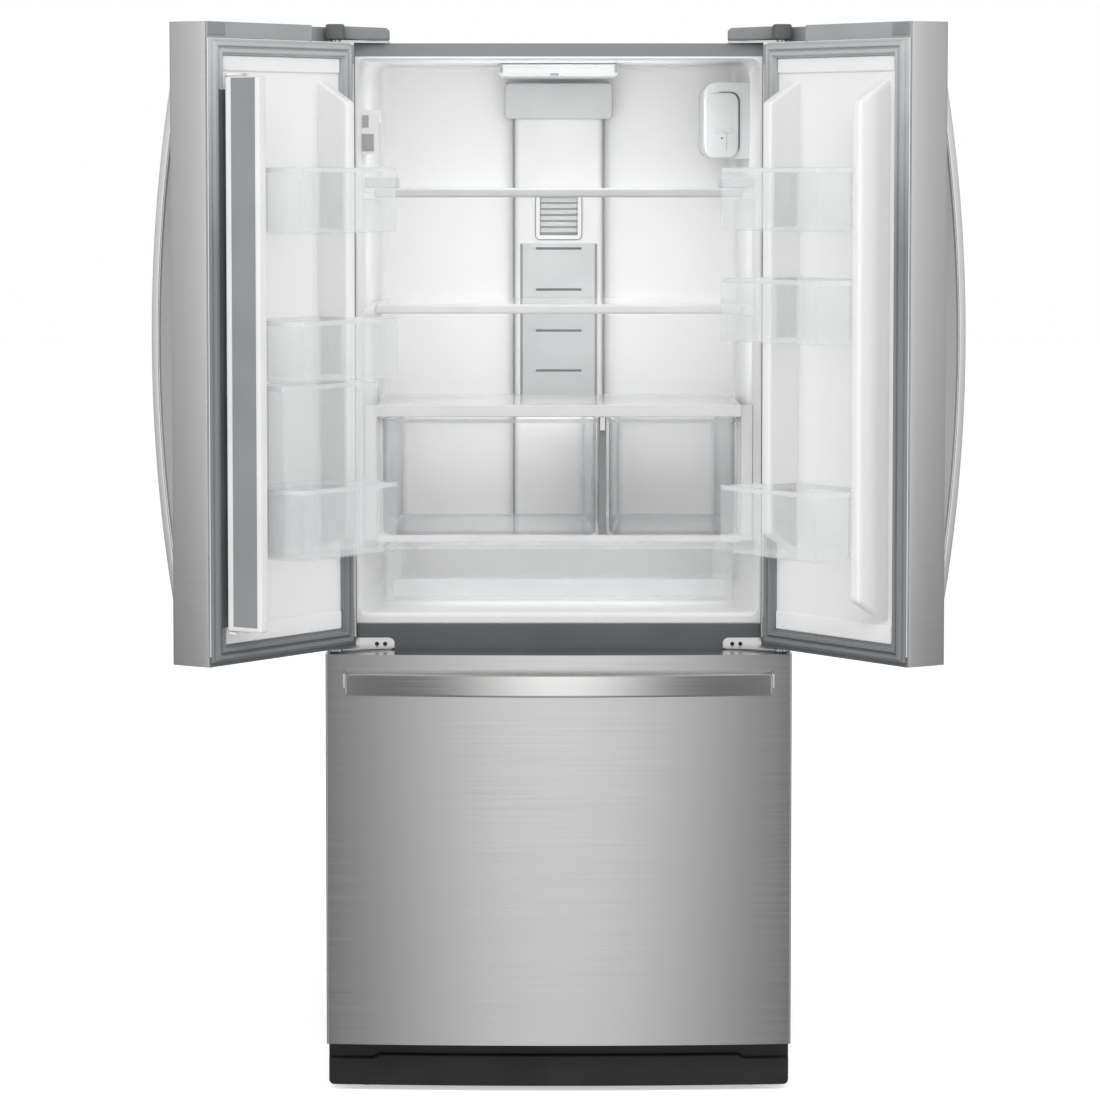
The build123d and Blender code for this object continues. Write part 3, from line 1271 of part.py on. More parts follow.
# Lower basket hung on the slides by its rim, upper basket sliding on the ledges
rim_bottom = bar_top + SEAT_GAP
rim_outer = BASKET_HALF + BASKET_RIM
basket_end = BASKET_START + BASKET_LENGTH
basket_top = rim_bottom + RIM_THICKNESS
basket = open_bin(-BASKET_HALF, BASKET_HALF, BASKET_START, basket_end, BASKET_FLOOR, basket_top, BIN_WALL)
basket += both_sides(
    block(BASKET_HALF - BIN_WALL, rim_outer, BASKET_START, basket_end, rim_bottom, basket_top)
)
nodes["freezer_basket"] = [basket]
upper_floor = ledge_top + SEAT_GAP
upper_basket_half = upper_ledge_outer - SLIDE_CLEARANCE
nodes["upper_basket"] = [
    open_bin(
        -upper_basket_half,
        upper_basket_half,
        BASKET_START,
        BASKET_START + UPPER_BASKET_LENGTH,
        upper_floor,
        UPPER_BASKET_TOP,
        BIN_WALL,
    )
]

# Centre the whole over its origin and write each piece
everything = Compound([solid for shapes in nodes.values() for shape in shapes for solid in shape.solids()])
box = everything.bounding_box()
CENTRE_Y = (box.min.Y + box.max.Y) / 2
os.makedirs("parts", exist_ok=True)
for name, shapes in nodes.items():
    solids = [solid for shape in shapes for solid in (Pos(0, -CENTRE_Y, 0) * shape).solids()]
    export_step(Compound(solids) if len(solids) > 1 else solids[0], f"parts/{name}.step")
print(len(nodes), "pieces, moved by", round(-CENTRE_Y, 3), "in Y; box", box.size)
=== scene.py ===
import json
import math

import bmesh
import bpy
from mathutils import Matrix, Vector


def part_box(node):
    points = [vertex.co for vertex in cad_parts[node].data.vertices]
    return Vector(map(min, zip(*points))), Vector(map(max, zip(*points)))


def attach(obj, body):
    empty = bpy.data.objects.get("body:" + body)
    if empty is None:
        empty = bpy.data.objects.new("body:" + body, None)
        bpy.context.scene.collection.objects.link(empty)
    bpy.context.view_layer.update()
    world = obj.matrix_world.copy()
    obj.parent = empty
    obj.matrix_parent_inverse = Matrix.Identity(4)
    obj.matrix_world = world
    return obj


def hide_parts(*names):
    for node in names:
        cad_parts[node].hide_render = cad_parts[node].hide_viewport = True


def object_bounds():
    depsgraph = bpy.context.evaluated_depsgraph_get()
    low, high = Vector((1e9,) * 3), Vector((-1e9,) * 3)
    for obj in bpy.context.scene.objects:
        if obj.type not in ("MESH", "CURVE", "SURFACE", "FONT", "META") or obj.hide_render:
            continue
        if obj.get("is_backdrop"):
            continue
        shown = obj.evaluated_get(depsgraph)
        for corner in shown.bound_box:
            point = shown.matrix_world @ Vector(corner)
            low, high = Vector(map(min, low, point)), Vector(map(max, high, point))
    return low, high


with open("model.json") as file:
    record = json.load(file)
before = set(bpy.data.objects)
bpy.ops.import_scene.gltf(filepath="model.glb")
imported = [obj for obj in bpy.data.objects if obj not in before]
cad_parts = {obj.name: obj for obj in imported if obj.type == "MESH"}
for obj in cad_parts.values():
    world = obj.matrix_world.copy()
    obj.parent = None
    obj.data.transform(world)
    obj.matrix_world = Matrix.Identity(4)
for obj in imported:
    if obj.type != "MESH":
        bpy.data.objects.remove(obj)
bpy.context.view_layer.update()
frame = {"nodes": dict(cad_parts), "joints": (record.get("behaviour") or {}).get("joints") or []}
scene = bpy.context.scene
scene.view_settings.view_transform = "Standard"

# Camera: straight in front of the open refrigerator, level with its upper shelf, with a long lens.
# The tilt does most of the framing, and the shift only the rest.
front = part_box("cabinet_shell")[0].y
camera_distance, camera_height, camera_tilt = 7.231, 1.506, 4.27
photo_view = bpy.data.cameras.new("photo_view")
photo_view.lens = 147.4
photo_view.sensor_width = 36.0
photo_view.shift_x = -0.0079
photo_view.shift_y = -0.05
camera = bpy.data.objects.new("photo_view", photo_view)
camera.location = (0.0, front - camera_distance, camera_height)
camera.rotation_euler = (math.radians(90 - camera_tilt), 0.0, 0.0)
scene.collection.objects.link(camera)
scene.camera = camera


# Studio: a pale floor, an even white surround and large soft lamps. Polished metal sees the white
# surround with a darker stretch on either side of the middle, as between soft boxes, and another one
# low down at the far sides. Small lamps between the shelves stand for the light inside.
def linear(code):
    """An sRGB hex colour as the linear colour that a shader wants."""
    parts = [int(code[i:i + 2], 16) / 255 for i in (1, 3, 5)]
    return [c / 12.92 if c <= 0.04045 else ((c + 0.055) / 1.055) ** 2.4 for c in parts] + [1.0]


def plug(tree, node, inputs):
    """Sets a node's inputs: each is a value, or the socket to link from."""
    for key, value in inputs.items():
        if isinstance(value, bpy.types.NodeSocket):
            tree.links.new(value, node.inputs[key])
        else:
            node.inputs[key].default_value = value


def add(tree, kind, inputs=None, **settings):
    """Adds a shader node of a kind with its properties and its inputs."""
    node = tree.nodes.new("ShaderNode" + kind)
    for key, value in settings.items():
        setattr(node, key, value)
    plug(tree, node, inputs or {})
    return node


surround = bpy.data.worlds.new("white_surround")
surround.use_nodes = True
scene.world = surround
tree = surround.node_tree
tree.nodes.clear()
ray = add(tree, "LightPath")
aim = add(tree, "SeparateXYZ", {0: add(tree, "TexCoord").outputs["Generated"]})
# How far to either side of the front metal looks, as a part of half a turn.
ahead = add(tree, "Math", {0: aim.outputs["Y"], 1: -1.0}, operation="MULTIPLY")
bearing = add(tree, "Math", {0: aim.outputs["X"], 1: ahead.outputs[0]}, operation="ARCTAN2")
aside = add(tree, "Math", {0: bearing.outputs[0]}, operation="ABSOLUTE")
part = add(tree, "Math", {0: aside.outputs[0], 1: math.pi}, operation="DIVIDE")
bands = add(tree, "ValToRGB", {0: part.outputs[0]})
ramp = bands.color_ramp
ramp.interpolation = "EASE"
for degrees, shade in (
        (2, "#ffffff"), (7, "#cccccc"), (13, "#565656"), (18, "#4c4c4c"), (23, "#5a5a5a"), (29, "#8c8c8c"),
        (38, "#b4b4b4"), (56, "#efefef"), (64, "#ededed"), (76, "#bcbcbc"), (94, "#a1a1a1")):
    ramp.elements.new(degrees / 180).color = linear(shade)
ramp.elements.remove(ramp.elements[0])
ramp.elements[-1].color = linear("#c0c0c0")
upward = add(tree, "Math", {0: aim.outputs["Z"]}, operation="ABSOLUTE")
overhead = add(tree, "MapRange", {0: upward.outputs[0], 1: 0.55, 2: 0.95})
around = add(tree, "Mix", {
    0: overhead.outputs[0], 6: bands.outputs["Color"], 7: linear("#8c8c8c")}, data_type="RGBA")
# The surround gets darker below, and darker still low down at the far sides.
downward = add(tree, "MapRange", {0: aim.outputs["Z"], 1: -0.20, 2: -0.12, 3: 0.80, 4: 1.17})
from_side = add(tree, "Math", {0: part.outputs[0], 1: 80 / 180}, operation="SUBTRACT")
off_side = add(tree, "Math", {0: from_side.outputs[0]}, operation="ABSOLUTE")
far_side = add(tree, "MapRange", {0: off_side.outputs[0], 1: 24 / 180, 2: 15 / 180})
below = add(tree, "MapRange", {0: aim.outputs["Z"], 1: -0.06, 2: -0.13})
dim = add(tree, "Math", {0: far_side.outputs[0], 1: below.outputs[0]}, operation="MULTIPLY")
kept = add(tree, "MapRange", {0: dim.outputs[0], 3: 1.04, 4: 0.26})
level = add(tree, "Math", {0: downward.outputs[0], 1: kept.outputs[0]}, operation="MULTIPLY")
mirrored = add(tree, "Background", {"Color": around.outputs[2], "Strength": level.outputs[0]})
lit = add(tree, "Background", {"Color": linear("#ffffff"), "Strength": 0.62})
plain = add(tree, "Background", {"Color": linear("#ffffff"), "Strength": 1.0})
for_metal = add(tree, "MixShader", {
    0: ray.outputs["Is Glossy Ray"], 1: lit.outputs[0], 2: mirrored.outputs[0]})
seen = add(tree, "Math", {
    0: ray.outputs["Is Camera Ray"], 1: ray.outputs["Is Transmission Ray"]}, operation="MAXIMUM")
whole = add(tree, "MixShader", {0: seen.outputs[0], 1: for_metal.outputs[0], 2: plain.outputs[0]})
add(tree, "OutputWorld", {"Surface": whole.outputs[0]})

# Matt white paint: no gloss, and a little brighter to the camera, so that the floor runs into the white.
floor_paint = bpy.data.materials.new("matt_floor_paint")
floor_paint.use_nodes = True
tree = floor_paint.node_tree
tree.nodes.clear()
ray = add(tree, "LightPath")
matt = add(tree, "BsdfDiffuse", {"Color": linear("#f4f4f4"), "Roughness": 1.0})
bright = add(tree, "Emission", {"Color": linear("#ffffff"), "Strength": 0.46})
dark = add(tree, "Emission", {"Strength": 0.0})
lift = add(tree, "MixShader", {
    0: ray.outputs["Is Camera Ray"], 1: dark.outputs[0], 2: bright.outputs[0]})
both = add(tree, "AddShader", {0: matt.outputs[0], 1: lift.outputs[0]})
add(tree, "OutputMaterial", {"Surface": both.outputs[0]})
bm = bmesh.new()
bmesh.ops.create_grid(bm, x_segments=1, y_segments=1, size=30.0)
slab = bpy.data.meshes.new("studio_floor")
bm.to_mesh(slab)
bm.free()
slab.materials.append(floor_paint)
studio_floor = bpy.data.objects.new("studio_floor", slab)
scene.collection.objects.link(studio_floor)
studio_floor.visible_glossy = False
studio_floor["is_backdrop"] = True

for name, place, aimed, width, height, watts in (
        ("front_soft_box", (0.0, -4.2, 3.4), (0.0, 0.0, 0.9), 3.6, 1.8, 92.0),
        ("left_soft_box", (-3.4, -2.2, 2.0), (0.0, 0.0, 0.9), 1.6, 2.4, 18.0),
        ("right_soft_box", (3.4, -2.2, 2.0), (0.0, 0.0, 0.9), 1.6, 2.4, 21.0),
        ("upper_shelf_light", (0.0, front + 0.165, 1.560), (0.0, front + 0.6, 1.560), 0.42, 0.14, 0.47),
        ("middle_shelf_light", (0.0, front + 0.165, 1.360), (0.0, front + 0.6, 1.360), 0.54, 0.12, 0.26),
        ("lower_shelf_light", (0.0, front + 0.165, 1.180), (0.0, front + 0.6, 1.180), 0.54, 0.10, 0.51),
        ("crisper_light", (0.0, front + 0.36, 1.079), (0.0, front + 0.36, 0.5), 0.54, 0.38, 1.7),
        ("pantry_light", (0.0, front + 0.36, 0.874), (0.0, front + 0.36, 0.5), 0.54, 0.38, 0.68),
        ("ceiling_light", (0.0, front + 0.12, 1.655), (0.0, front + 0.36, 1.0), 0.40, 0.10, 0.72)):
    lamp = bpy.data.lights.new(name, "AREA")
    lamp.shape = "RECTANGLE"
    lamp.size = width
    lamp.size_y = height
    lamp.energy = watts
    box = bpy.data.objects.new(name, lamp)
    box.location = place
    box.rotation_euler = (Vector(aimed) - Vector(place)).to_track_quat("-Z", "Y").to_euler()
    box.visible_glossy = False
    box.visible_transmission = False
    scene.collection.objects.link(box)


# Base: a galvanised steel chassis with roller axles, nylon rollers and black levelling feet.
# The steel is hot-dip coated, so it shows a soft spangle; the nylon is moulded and slightly waxy.
def finish_of(name):
    """A new material with its nodes, its shader and its place on the piece."""
    finish = bpy.data.materials.new(name)
    finish.use_nodes = True
    tree = finish.node_tree
    place = add(tree, "TexCoord").outputs["Object"]
    return finish, tree, tree.nodes["Principled BSDF"], place


def dress(finish, *names):
    """Gives solids that are carried over as they are their finish."""
    for name in names:
        for slot in frame["nodes"][name].material_slots:
            slot.material = finish


# Hot-dip zinc: grey crystals about 12 mm across that differ a little in tone and dullness.
galvanised_steel, tree, shader, place = finish_of("galvanised_steel")
flake = add(tree, "TexVoronoi", {"Vector": place, "Scale": 1 / 0.012})
tone = add(tree, "Mix", {
    0: flake.outputs["Distance"], 6: linear("#a9abad"), 7: linear("#c6c8c9")}, data_type="RGBA")
wear = add(tree, "MapRange", {0: flake.outputs["Distance"], 3: 0.34, 4: 0.5})
plug(tree, shader, {"Base Color": tone.outputs[2], "Roughness": wear.outputs[0], "Metallic": 1.0})
dress(galvanised_steel, "base_frame", "fan_motors")


def moulded(name, pale, deep, grain, relief, gloss, ior=1.54):
    """A moulded polymer or a sprayed paint: half dull, with a fine grain and a slow drift of its colour.
    The real grain is a fraction of a millimetre; it is drawn at the given size, so that it shows."""
    finish, tree, shader, place = finish_of(name)
    grit = add(tree, "TexNoise", {"Vector": place, "Scale": 1 / grain, "Detail": 2.0})
    drift = add(tree, "TexNoise", {"Vector": place, "Scale": 1 / 0.11, "Detail": 3.0})
    blend = add(tree, "MapRange", {0: drift.outputs["Fac"], 1: 0.35, 2: 0.65})
    tone = add(tree, "Mix", {
        0: blend.outputs[0], 6: linear(deep), 7: linear(pale)}, data_type="RGBA")
    sheen = add(tree, "MapRange", {
        0: grit.outputs["Fac"], 1: 0.3, 2: 0.7, 3: gloss - 0.04, 4: gloss + 0.05})
    dents = add(tree, "Bump", {
        "Height": grit.outputs["Fac"], "Strength": relief, "Distance": grain * 0.06})
    plug(tree, shader, {"Base Color": tone.outputs[2], "Roughness": sheen.outputs[0],
                        "Normal": dents.outputs["Normal"], "IOR": ior})
    return finish


# Polypropylene is deep and waxy; nylon is ivory and a little translucent to the eye.
black_polypropylene = moulded("black_polypropylene", "#2b2c2d", "#222324", 0.0014, 0.35, 0.42, 1.49)
roller_nylon = moulded("roller_nylon", "#d9d7cf", "#cdcbc2", 0.002, 0.2, 0.4, 1.53)
dress(roller_nylon, "front_rollers", "rear_rollers")
dress(black_polypropylene, "levelling_feet", "machine_cover", "evaporator_fan", "condenser_fan")


# Toe grille: a black moulded polypropylene kick plate, bowed like the fronts above it, with a folded
# top edge that steps down at both ends and turns up behind: a black back that paints the shadow in the gap
# under the drawer. It clips onto the base.
def block(bm, one, other):
    """A box between two opposite corners."""
    made = bmesh.ops.create_cube(bm, size=1.0)["verts"]
    size = Vector(other) - Vector(one)
    bmesh.ops.scale(bm, vec=[abs(length) for length in size], verts=made)
    bmesh.ops.translate(bm, vec=(Vector(other) + Vector(one)) / 2, verts=made)
    return made


def ease(bm, edges, radius, steps=3):
    """Rounds edges, as a mould or a folding tool leaves them."""
    bmesh.ops.bevel(bm, geom=list(edges), offset=radius, offset_type="OFFSET", affect="EDGES",
                    segments=steps, profile=0.5, material=-1, clamp_overlap=True)


def round_off(bm, corners, radius, steps):
    """Rounds the corners of a flat sheet."""
    bmesh.ops.bevel(bm, geom=corners, offset=radius, offset_type="OFFSET", affect="VERTICES",
                    segments=steps, profile=0.5, material=-1)


def folds(edges, least=30.0):
    """The edges that turn by more than some degrees."""
    return [e for e in edges if len(e.link_faces) == 2 and e.calc_face_angle(0.0) > math.radians(least)]


def cut(bm, faces, at, across):
    """Cuts faces along a plane."""
    faces = list(faces)
    geom = faces + list({e for f in faces for e in f.edges}) + list({v for f in faces for v in f.verts})
    bmesh.ops.bisect_plane(bm, geom=geom, plane_co=at, plane_no=across, dist=1e-6)


def pull(bm, grown, shift):
    """Moves what an extrusion has just grown."""
    bmesh.ops.translate(bm, vec=shift, verts=[g for g in grown if isinstance(g, bmesh.types.BMVert)])


def face_front(bm):
    """Turns an open sheet so that its outer side looks to the front."""
    bmesh.ops.recalc_face_normals(bm, faces=bm.faces)
    if sum(f.normal.y * f.calc_area() for f in bm.faces) > 0:
        bmesh.ops.reverse_faces(bm, faces=bm.faces)


def arc_radius(half, bow):
    """The radius of an arc that rises by its bow over twice its half width."""
    return (half * half + bow * bow) / (2 * bow)


def piece_of(bm, name, body, slot, *finishes, stands_for=None):
    """Makes a finished piece, smooth over its rounded edges and flat on its flat faces. It rides on a
    body, takes the finishes it is given, and may stand for a solid. Its slot is not used."""
    mesh = bpy.data.meshes.new(name)
    bm.to_mesh(mesh)
    bm.free()
    for finish in finishes:
        mesh.materials.append(finish)
    mesh.shade_smooth()
    mesh.set_sharp_from_angle(angle=math.radians(40))
    piece = bpy.data.objects.new(name, mesh)
    scene.collection.objects.link(piece)
    flat = piece.modifiers.new("flat_faces", "WEIGHTED_NORMAL")
    flat.keep_sharp = True
    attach(piece, body)
    if stands_for:
        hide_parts(stands_for)
    return piece


grille_half, grille_low, grille_top, grille_bow = 0.372, 0.010, 0.060, 0.016
grille_face, grille_radius = front - 0.020, arc_radius(grille_half, grille_bow)
step_start, step_end, step_height, upper_part = 0.300, 0.290, 0.006, 0.05
bm = bmesh.new()
end = [bm.verts.new((-grille_half, grille_face, z)) for z in (grille_low, grille_top)]
bmesh.ops.spin(bm, geom=end + [bm.edges.new(end)], axis=(0.0, 0.0, 1.0),
               cent=(0.0, grille_face - grille_bow + grille_radius, 0.0),
               angle=2 * math.asin(grille_half / grille_radius), steps=24, use_duplicate=False)
for x in (-step_start, -step_end, step_end, step_start):
    cut(bm, bm.faces, (x, 0.0, 0.0), (1.0, 0.0, 0.0))
ends = [v for v in bm.verts if v.co.z > upper_part and abs(v.co.x) > step_start - 0.0005]
bmesh.ops.translate(bm, vec=(0.0, 0.0, -step_height), verts=ends)
rim = [e for e in bm.edges if e.is_boundary and min(v.co.z for v in e.verts) > upper_part]
# The top edge folds back, then up behind the gap under the drawer: this black sheet is painted shadow.
for shift in ((0.0, 0.010, 0.0), (0.0, 0.0, 0.034)):
    grown = bmesh.ops.extrude_edge_only(bm, edges=rim)["geom"]
    pull(bm, grown, shift)
    rim = [g for g in grown if isinstance(g, bmesh.types.BMEdge)]
face_front(bm)
ease(bm, folds(bm.edges, 50), 0.0035)
corners = [v for v in bm.verts if v.co.z < grille_low + 1e-4 and abs(v.co.x) > grille_half - 1e-4]
round_off(bm, corners, 0.008, 4)
bmesh.ops.solidify(bm, geom=bm.faces, thickness=0.0025)
piece_of(bm, "toe_plate", "cabinet", "black_plastic", black_polypropylene, stands_for="toe_grille")

# Cabinet wrapper: one sheet of steel folded over both sides and the top, with a front flange turned in
# towards the linings. It is painted grey before it is folded, and the foam holds it.
# Textured paint: a fine orange peel, drawn at 2.5 mm so that it shows, dulls and breaks up the gloss.
textured_paint, tree, shader, place = finish_of("grey_textured_paint")
peel = add(tree, "TexNoise", {"Vector": place, "Scale": 1 / 0.0025, "Detail": 2.0})
drift = add(tree, "TexNoise", {"Vector": place, "Scale": 1 / 0.25, "Detail": 3.0})
tone = add(tree, "Mix", {
    0: drift.outputs["Fac"], 6: linear("#838587"), 7: linear("#909294")}, data_type="RGBA")
sheen = add(tree, "MapRange", {0: peel.outputs["Fac"], 1: 0.3, 2: 0.7, 3: 0.36, 4: 0.48})
dents = add(tree, "Bump", {"Height": peel.outputs["Fac"], "Strength": 0.4, "Distance": 0.0004})
plug(tree, shader, {"Base Color": tone.outputs[2], "Roughness": sheen.outputs[0],
                    "Normal": dents.outputs["Normal"], "IOR": 1.52})

opening_half, opening_low, opening_top, kick_top = 0.3255, 0.137, 1.669, 0.062
bm = bmesh.new()
block(bm, *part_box("cabinet_shell"))
bmesh.ops.delete(bm, geom=[f for f in bm.faces if f.normal.z < -0.5 or f.normal.y > 0.5], context="FACES")
for x in (-opening_half, opening_half):
    cut(bm, [f for f in bm.faces if f.normal.y < -0.5], (x, 0, 0), (1, 0, 0))
for z in (opening_low, opening_top, kick_top):
    cut(bm, [f for f in bm.faces if f.normal.y < -0.5], (0, 0, z), (0, 0, 1))
inside = []
for f in bm.faces:
    middle = f.calc_center_median()
    if f.normal.y < -0.5 and abs(middle.x) < opening_half:
        if middle.z < kick_top or opening_low < middle.z < opening_top:
            inside.append(f)
bmesh.ops.delete(bm, geom=inside, context="FACES")
ease(bm, folds(bm.edges), 0.003)
bmesh.ops.solidify(bm, geom=bm.faces, thickness=0.001)
piece_of(bm, "cabinet_wrapper", "cabinet", "charcoal_steel", textured_paint, stands_for="cabinet_shell")


# Rail between the compartments: a steel channel across the front that the gaskets close on. It is
# screwed to the wrapper's flanges. Its grey is painted darker than the wrapper's, as painted shade under the
# doors.
def fresh(items, before):
    """What was made since then."""
    return [item for item in items if item not in before]


def moulding(bm, low, high, radius, steps=3, along=None, corner=0.0, finish=0):
    """A moulded block with rounded edges, and rounder corners along one axis where that is given, in
    the first of its piece's finishes or another one."""
    before = set(bm.edges)
    made = block(bm, low, high)
    if along is not None:
        run = [e for e in {e for v in made for e in v.link_edges}
               if abs((e.verts[0].co - e.verts[1].co).normalized()[along]) > 0.9]
        ease(bm, run, corner, 6)
    ease(bm, folds(fresh(bm.edges, before), 50), radius, steps)
    for e in fresh(bm.edges, before):
        for f in e.link_faces:
            f.material_index = finish


# Sprayed paint: even and half dull, its dark grey painted shade.
rail_shade_paint = moulded("dark_grey_paint", "#65676a", "#5d5f61", 0.0025, 0.2, 0.42, 1.52)
bm = bmesh.new()
moulding(bm, *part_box("divider_rail"), 0.002)
piece_of(bm, "compartment_rail", "cabinet", "charcoal_steel", rail_shade_paint, stands_for="divider_rail")


# Back of the cabinet: a sheet of pre-coated steel with two pressed beads, held by screws round its edge,
# with poured polyurethane foam behind it. The foam is never seen in use.
def peg(bm, place, foot, head, length, sides, turn=Matrix()):
    """A round pin or the head of a screw, standing up where it isn't turned."""
    bmesh.ops.create_cone(bm, cap_ends=True, segments=sides, radius1=foot, radius2=head, depth=length,
                          matrix=Matrix.Translation(place) @ turn)


# Coil coat: a thin even paint, smoother than the sprayed one.
grey_coat = moulded("grey_coil_coat", "#999b9d", "#96989a", 0.003, 0.2, 0.4, 1.5)
dress(grey_coat, "back_panel")
# Rigid foam: pale, matt and pitted by its cells, which are drawn at 1.5 mm so that they show.
foam, tree, shader, place = finish_of("polyurethane_foam")
cells = add(tree, "TexVoronoi", {"Vector": place, "Scale": 1 / 0.0015})
tone = add(tree, "Mix", {
    0: cells.outputs["Distance"], 6: linear("#cdbb86"), 7: linear("#e6d9ae")}, data_type="RGBA")
pits = add(tree, "Bump", {
    "Height": cells.outputs["Distance"], "Strength": 0.6, "Distance": 0.0005})
plug(tree, shader, {"Base Color": tone.outputs[2], "Normal": pits.outputs["Normal"], "Roughness": 0.9})
dress(foam, "cabinet_foam", "left_door_foam", "right_door_foam", "drawer_foam")

back_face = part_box("back_panel")[1].y
bead_across, bead_half, bead_low, bead_top = 0.16, 0.009, 0.420, 1.560
bm = bmesh.new()
for x in (-bead_across, bead_across):
    moulding(bm, (x - bead_half, back_face - 0.001, bead_low), (x + bead_half, back_face + 0.0016, bead_top),
             0.0012)
piece_of(bm, "back_sheet_beads", "cabinet", "grey_back", grey_coat)
edge_screws = [(x, z) for x in (-0.360, 0.360) for z in (0.085, 0.262, 0.310, 0.640, 0.980, 1.320, 1.660)]
inner_screws = [(x, z) for x in (-0.12, 0.12) for z in (0.262, 0.310, 1.672)]
bm = bmesh.new()
for x, z in edge_screws + inner_screws:
    peg(bm, (x, back_face + 0.0012, z), 0.0052, 0.0038, 0.0024, 18, Matrix.Rotation(-math.pi / 2, 4, "X"))
ease(bm, folds(bm.edges, 40), 0.0005, 2)
piece_of(bm, "back_screws", "cabinet", "zinc_steel", galvanised_steel)


# Machine compartment: a black enamelled compressor on the base, a finned aluminium condenser and its
# fan behind the back cover. The evaporator in the freezer is of the same aluminium.
def clouded(name, patch, detail, deep, pale, gloss, constants):
    """A smooth finish whose tone and gloss drift together over patches of the given size."""
    finish, tree, shader, place = finish_of(name)
    drift = add(tree, "TexNoise", {"Vector": place, "Scale": 1 / patch, "Detail": detail})
    tone = add(tree, "Mix", {
        0: drift.outputs["Fac"], 6: linear(deep), 7: linear(pale)}, data_type="RGBA")
    sheen = add(tree, "MapRange", {0: drift.outputs["Fac"], 3: gloss[0], 4: gloss[1]})
    plug(tree, shader, {"Base Color": tone.outputs[2], "Roughness": sheen.outputs[0], **constants})
    return finish


# Enamel is black, thick and fairly glossy; rolled aluminium is bright with a dull haze.
black_enamel = moulded("black_enamel", "#242527", "#1b1c1d", 0.004, 0.25, 0.3, 1.5)
dress(black_enamel, "compressor")
coil_aluminium = clouded("mill_finish_aluminium", 0.006, 3.0, "#b4b6b8", "#d2d4d6", (0.28, 0.42),
                         {"Metallic": 1.0})
dress(coil_aluminium, "evaporator", "condenser")


# Fresh food lining: one vacuum-formed sheet of white polystyrene with coved corners, moulded shelf
# ledges and a rolled lip across the front of its floor. It is held by the foam behind it.
def formed_sheet(name, deep, pale):
    """A vacuum-formed polystyrene sheet: smooth, its colour and gloss drifting where it was drawn thin."""
    return clouded(name, 0.16, 2.0, deep, pale, (0.28, 0.34), {"IOR": 1.59})


# Polystyrene sheet is white and glossy; moulded ABS is white, a shade greyer and duller.
white_polystyrene = formed_sheet("white_polystyrene", "#f0f0f0", "#f2f2f2")
white_abs = moulded("white_abs", "#e7e7e7", "#e1e1e1", 0.0016, 0.2, 0.36)
wall_front, wall_back, cavity_depth = 0.3225, 0.308, 0.600
floor_level, ceiling, cove, flange = 0.770, 1.666, 0.016, 0.003
bm = bmesh.new()
block(bm, (-wall_front, front, floor_level), (wall_front, front + cavity_depth, ceiling))
rear = [v for v in bm.verts if v.co.y > front + 0.1]
bmesh.ops.scale(bm, vec=(wall_back / wall_front, 1.0, 1.0), verts=rear)
bmesh.ops.delete(bm, geom=[f for f in bm.faces if f.normal.y < -0.5], context="FACES")
ease(bm, [e for e in bm.edges if not e.is_boundary], cove, 6)
mouth = [e for e in bm.edges if e.is_boundary]
rim = [g for g in bmesh.ops.extrude_edge_only(bm, edges=mouth)["geom"] if isinstance(g, bmesh.types.BMVert)]
near = cove - 0.0001
for v in rim:
    if abs(v.co.x) > wall_front - near:
        v.co.x = math.copysign(wall_front + flange, v.co.x)
    if v.co.z > ceiling - near:
        v.co.z = ceiling + flange
    elif v.co.z < floor_level + near:
        v.co.z = floor_level - flange
bmesh.ops.remove_doubles(bm, verts=rim, dist=1e-6)
face_front(bm)
bmesh.ops.solidify(bm, geom=bm.faces, thickness=0.003)
piece_of(bm, "fresh_lining", "cabinet", "white_lining", white_polystyrene, stands_for="fresh_food_liner")
shelf_tops, ledge_from, ledge_to = (1.458, 1.268), 0.322, 0.290
bm = bmesh.new()
for shelf_top in shelf_tops:
    for side in (-1, 1):
        moulding(bm, (side * ledge_from, front + 0.150, shelf_top - 0.020),
                 (side * ledge_to, front + 0.560, shelf_top - 0.006), 0.004)
moulding(bm, (-0.3300, front + 0.0008, 0.7565), (0.3300, front + 0.025, 0.776), 0.006, 5)
piece_of(bm, "fresh_lining_ledges", "cabinet", "white_lining", white_polystyrene)
dress(white_polystyrene, "freezer_liner", "evaporator_cover")


# Air tower: a white moulded duct up the back wall with a flat cover at its top, a louvre in a rounded
# frame and narrow outlets below it. It snaps onto the lining.
def forward(bm, low=0.0, high=2.0):
    """The faces that look straight to the front, between two heights."""
    return [f for f in bm.faces if f.normal.y < -0.99 and low < f.calc_center_median().z < high]


# Greys of the same moulded ABS. The darkest, dull one is the lens's real grey, and it is also painted
# shade in the sunk outlets and painted shadow lines beside the tower. The pale and silver greys paint the
# shade on the tower under the shelves, and are real greys on covers elsewhere.
lens_and_shade_grey = moulded("lens_grey_and_painted_shade_abs", "#999a9b", "#919293", 0.002, 0.2, 0.6)
pale_grey_abs = moulded("pale_grey_abs", "#cccdce", "#c5c6c7", 0.0016, 0.2, 0.4)
silver_abs = moulded("silver_grey_abs", "#c6c7c8", "#bfc0c1", 0.0016, 0.2, 0.4)
tower_half, tower_low, tower_top = 0.0755, 0.889, 1.580
tower_front, tower_back = front + 0.564, front + 0.600
panel_low, panel_middle, panel_top, panel_half = 1.0950, 1.2680, 1.3603, 0.0620
louvre_low, louvre_top, slit_half, outlet_half = 1.3745, 1.4400, 0.0310, 0.0395
slits = [(1.4314 - 0.0104 * k, 0.0034, slit_half) for k in range(6)]
outlets = [(top, 0.0045, outlet_half) for top in (1.3534, 1.2825, 1.2116, 1.1423)]
bm = bmesh.new()
block(bm, (-tower_half, tower_front, tower_low), (tower_half, tower_back, tower_top))
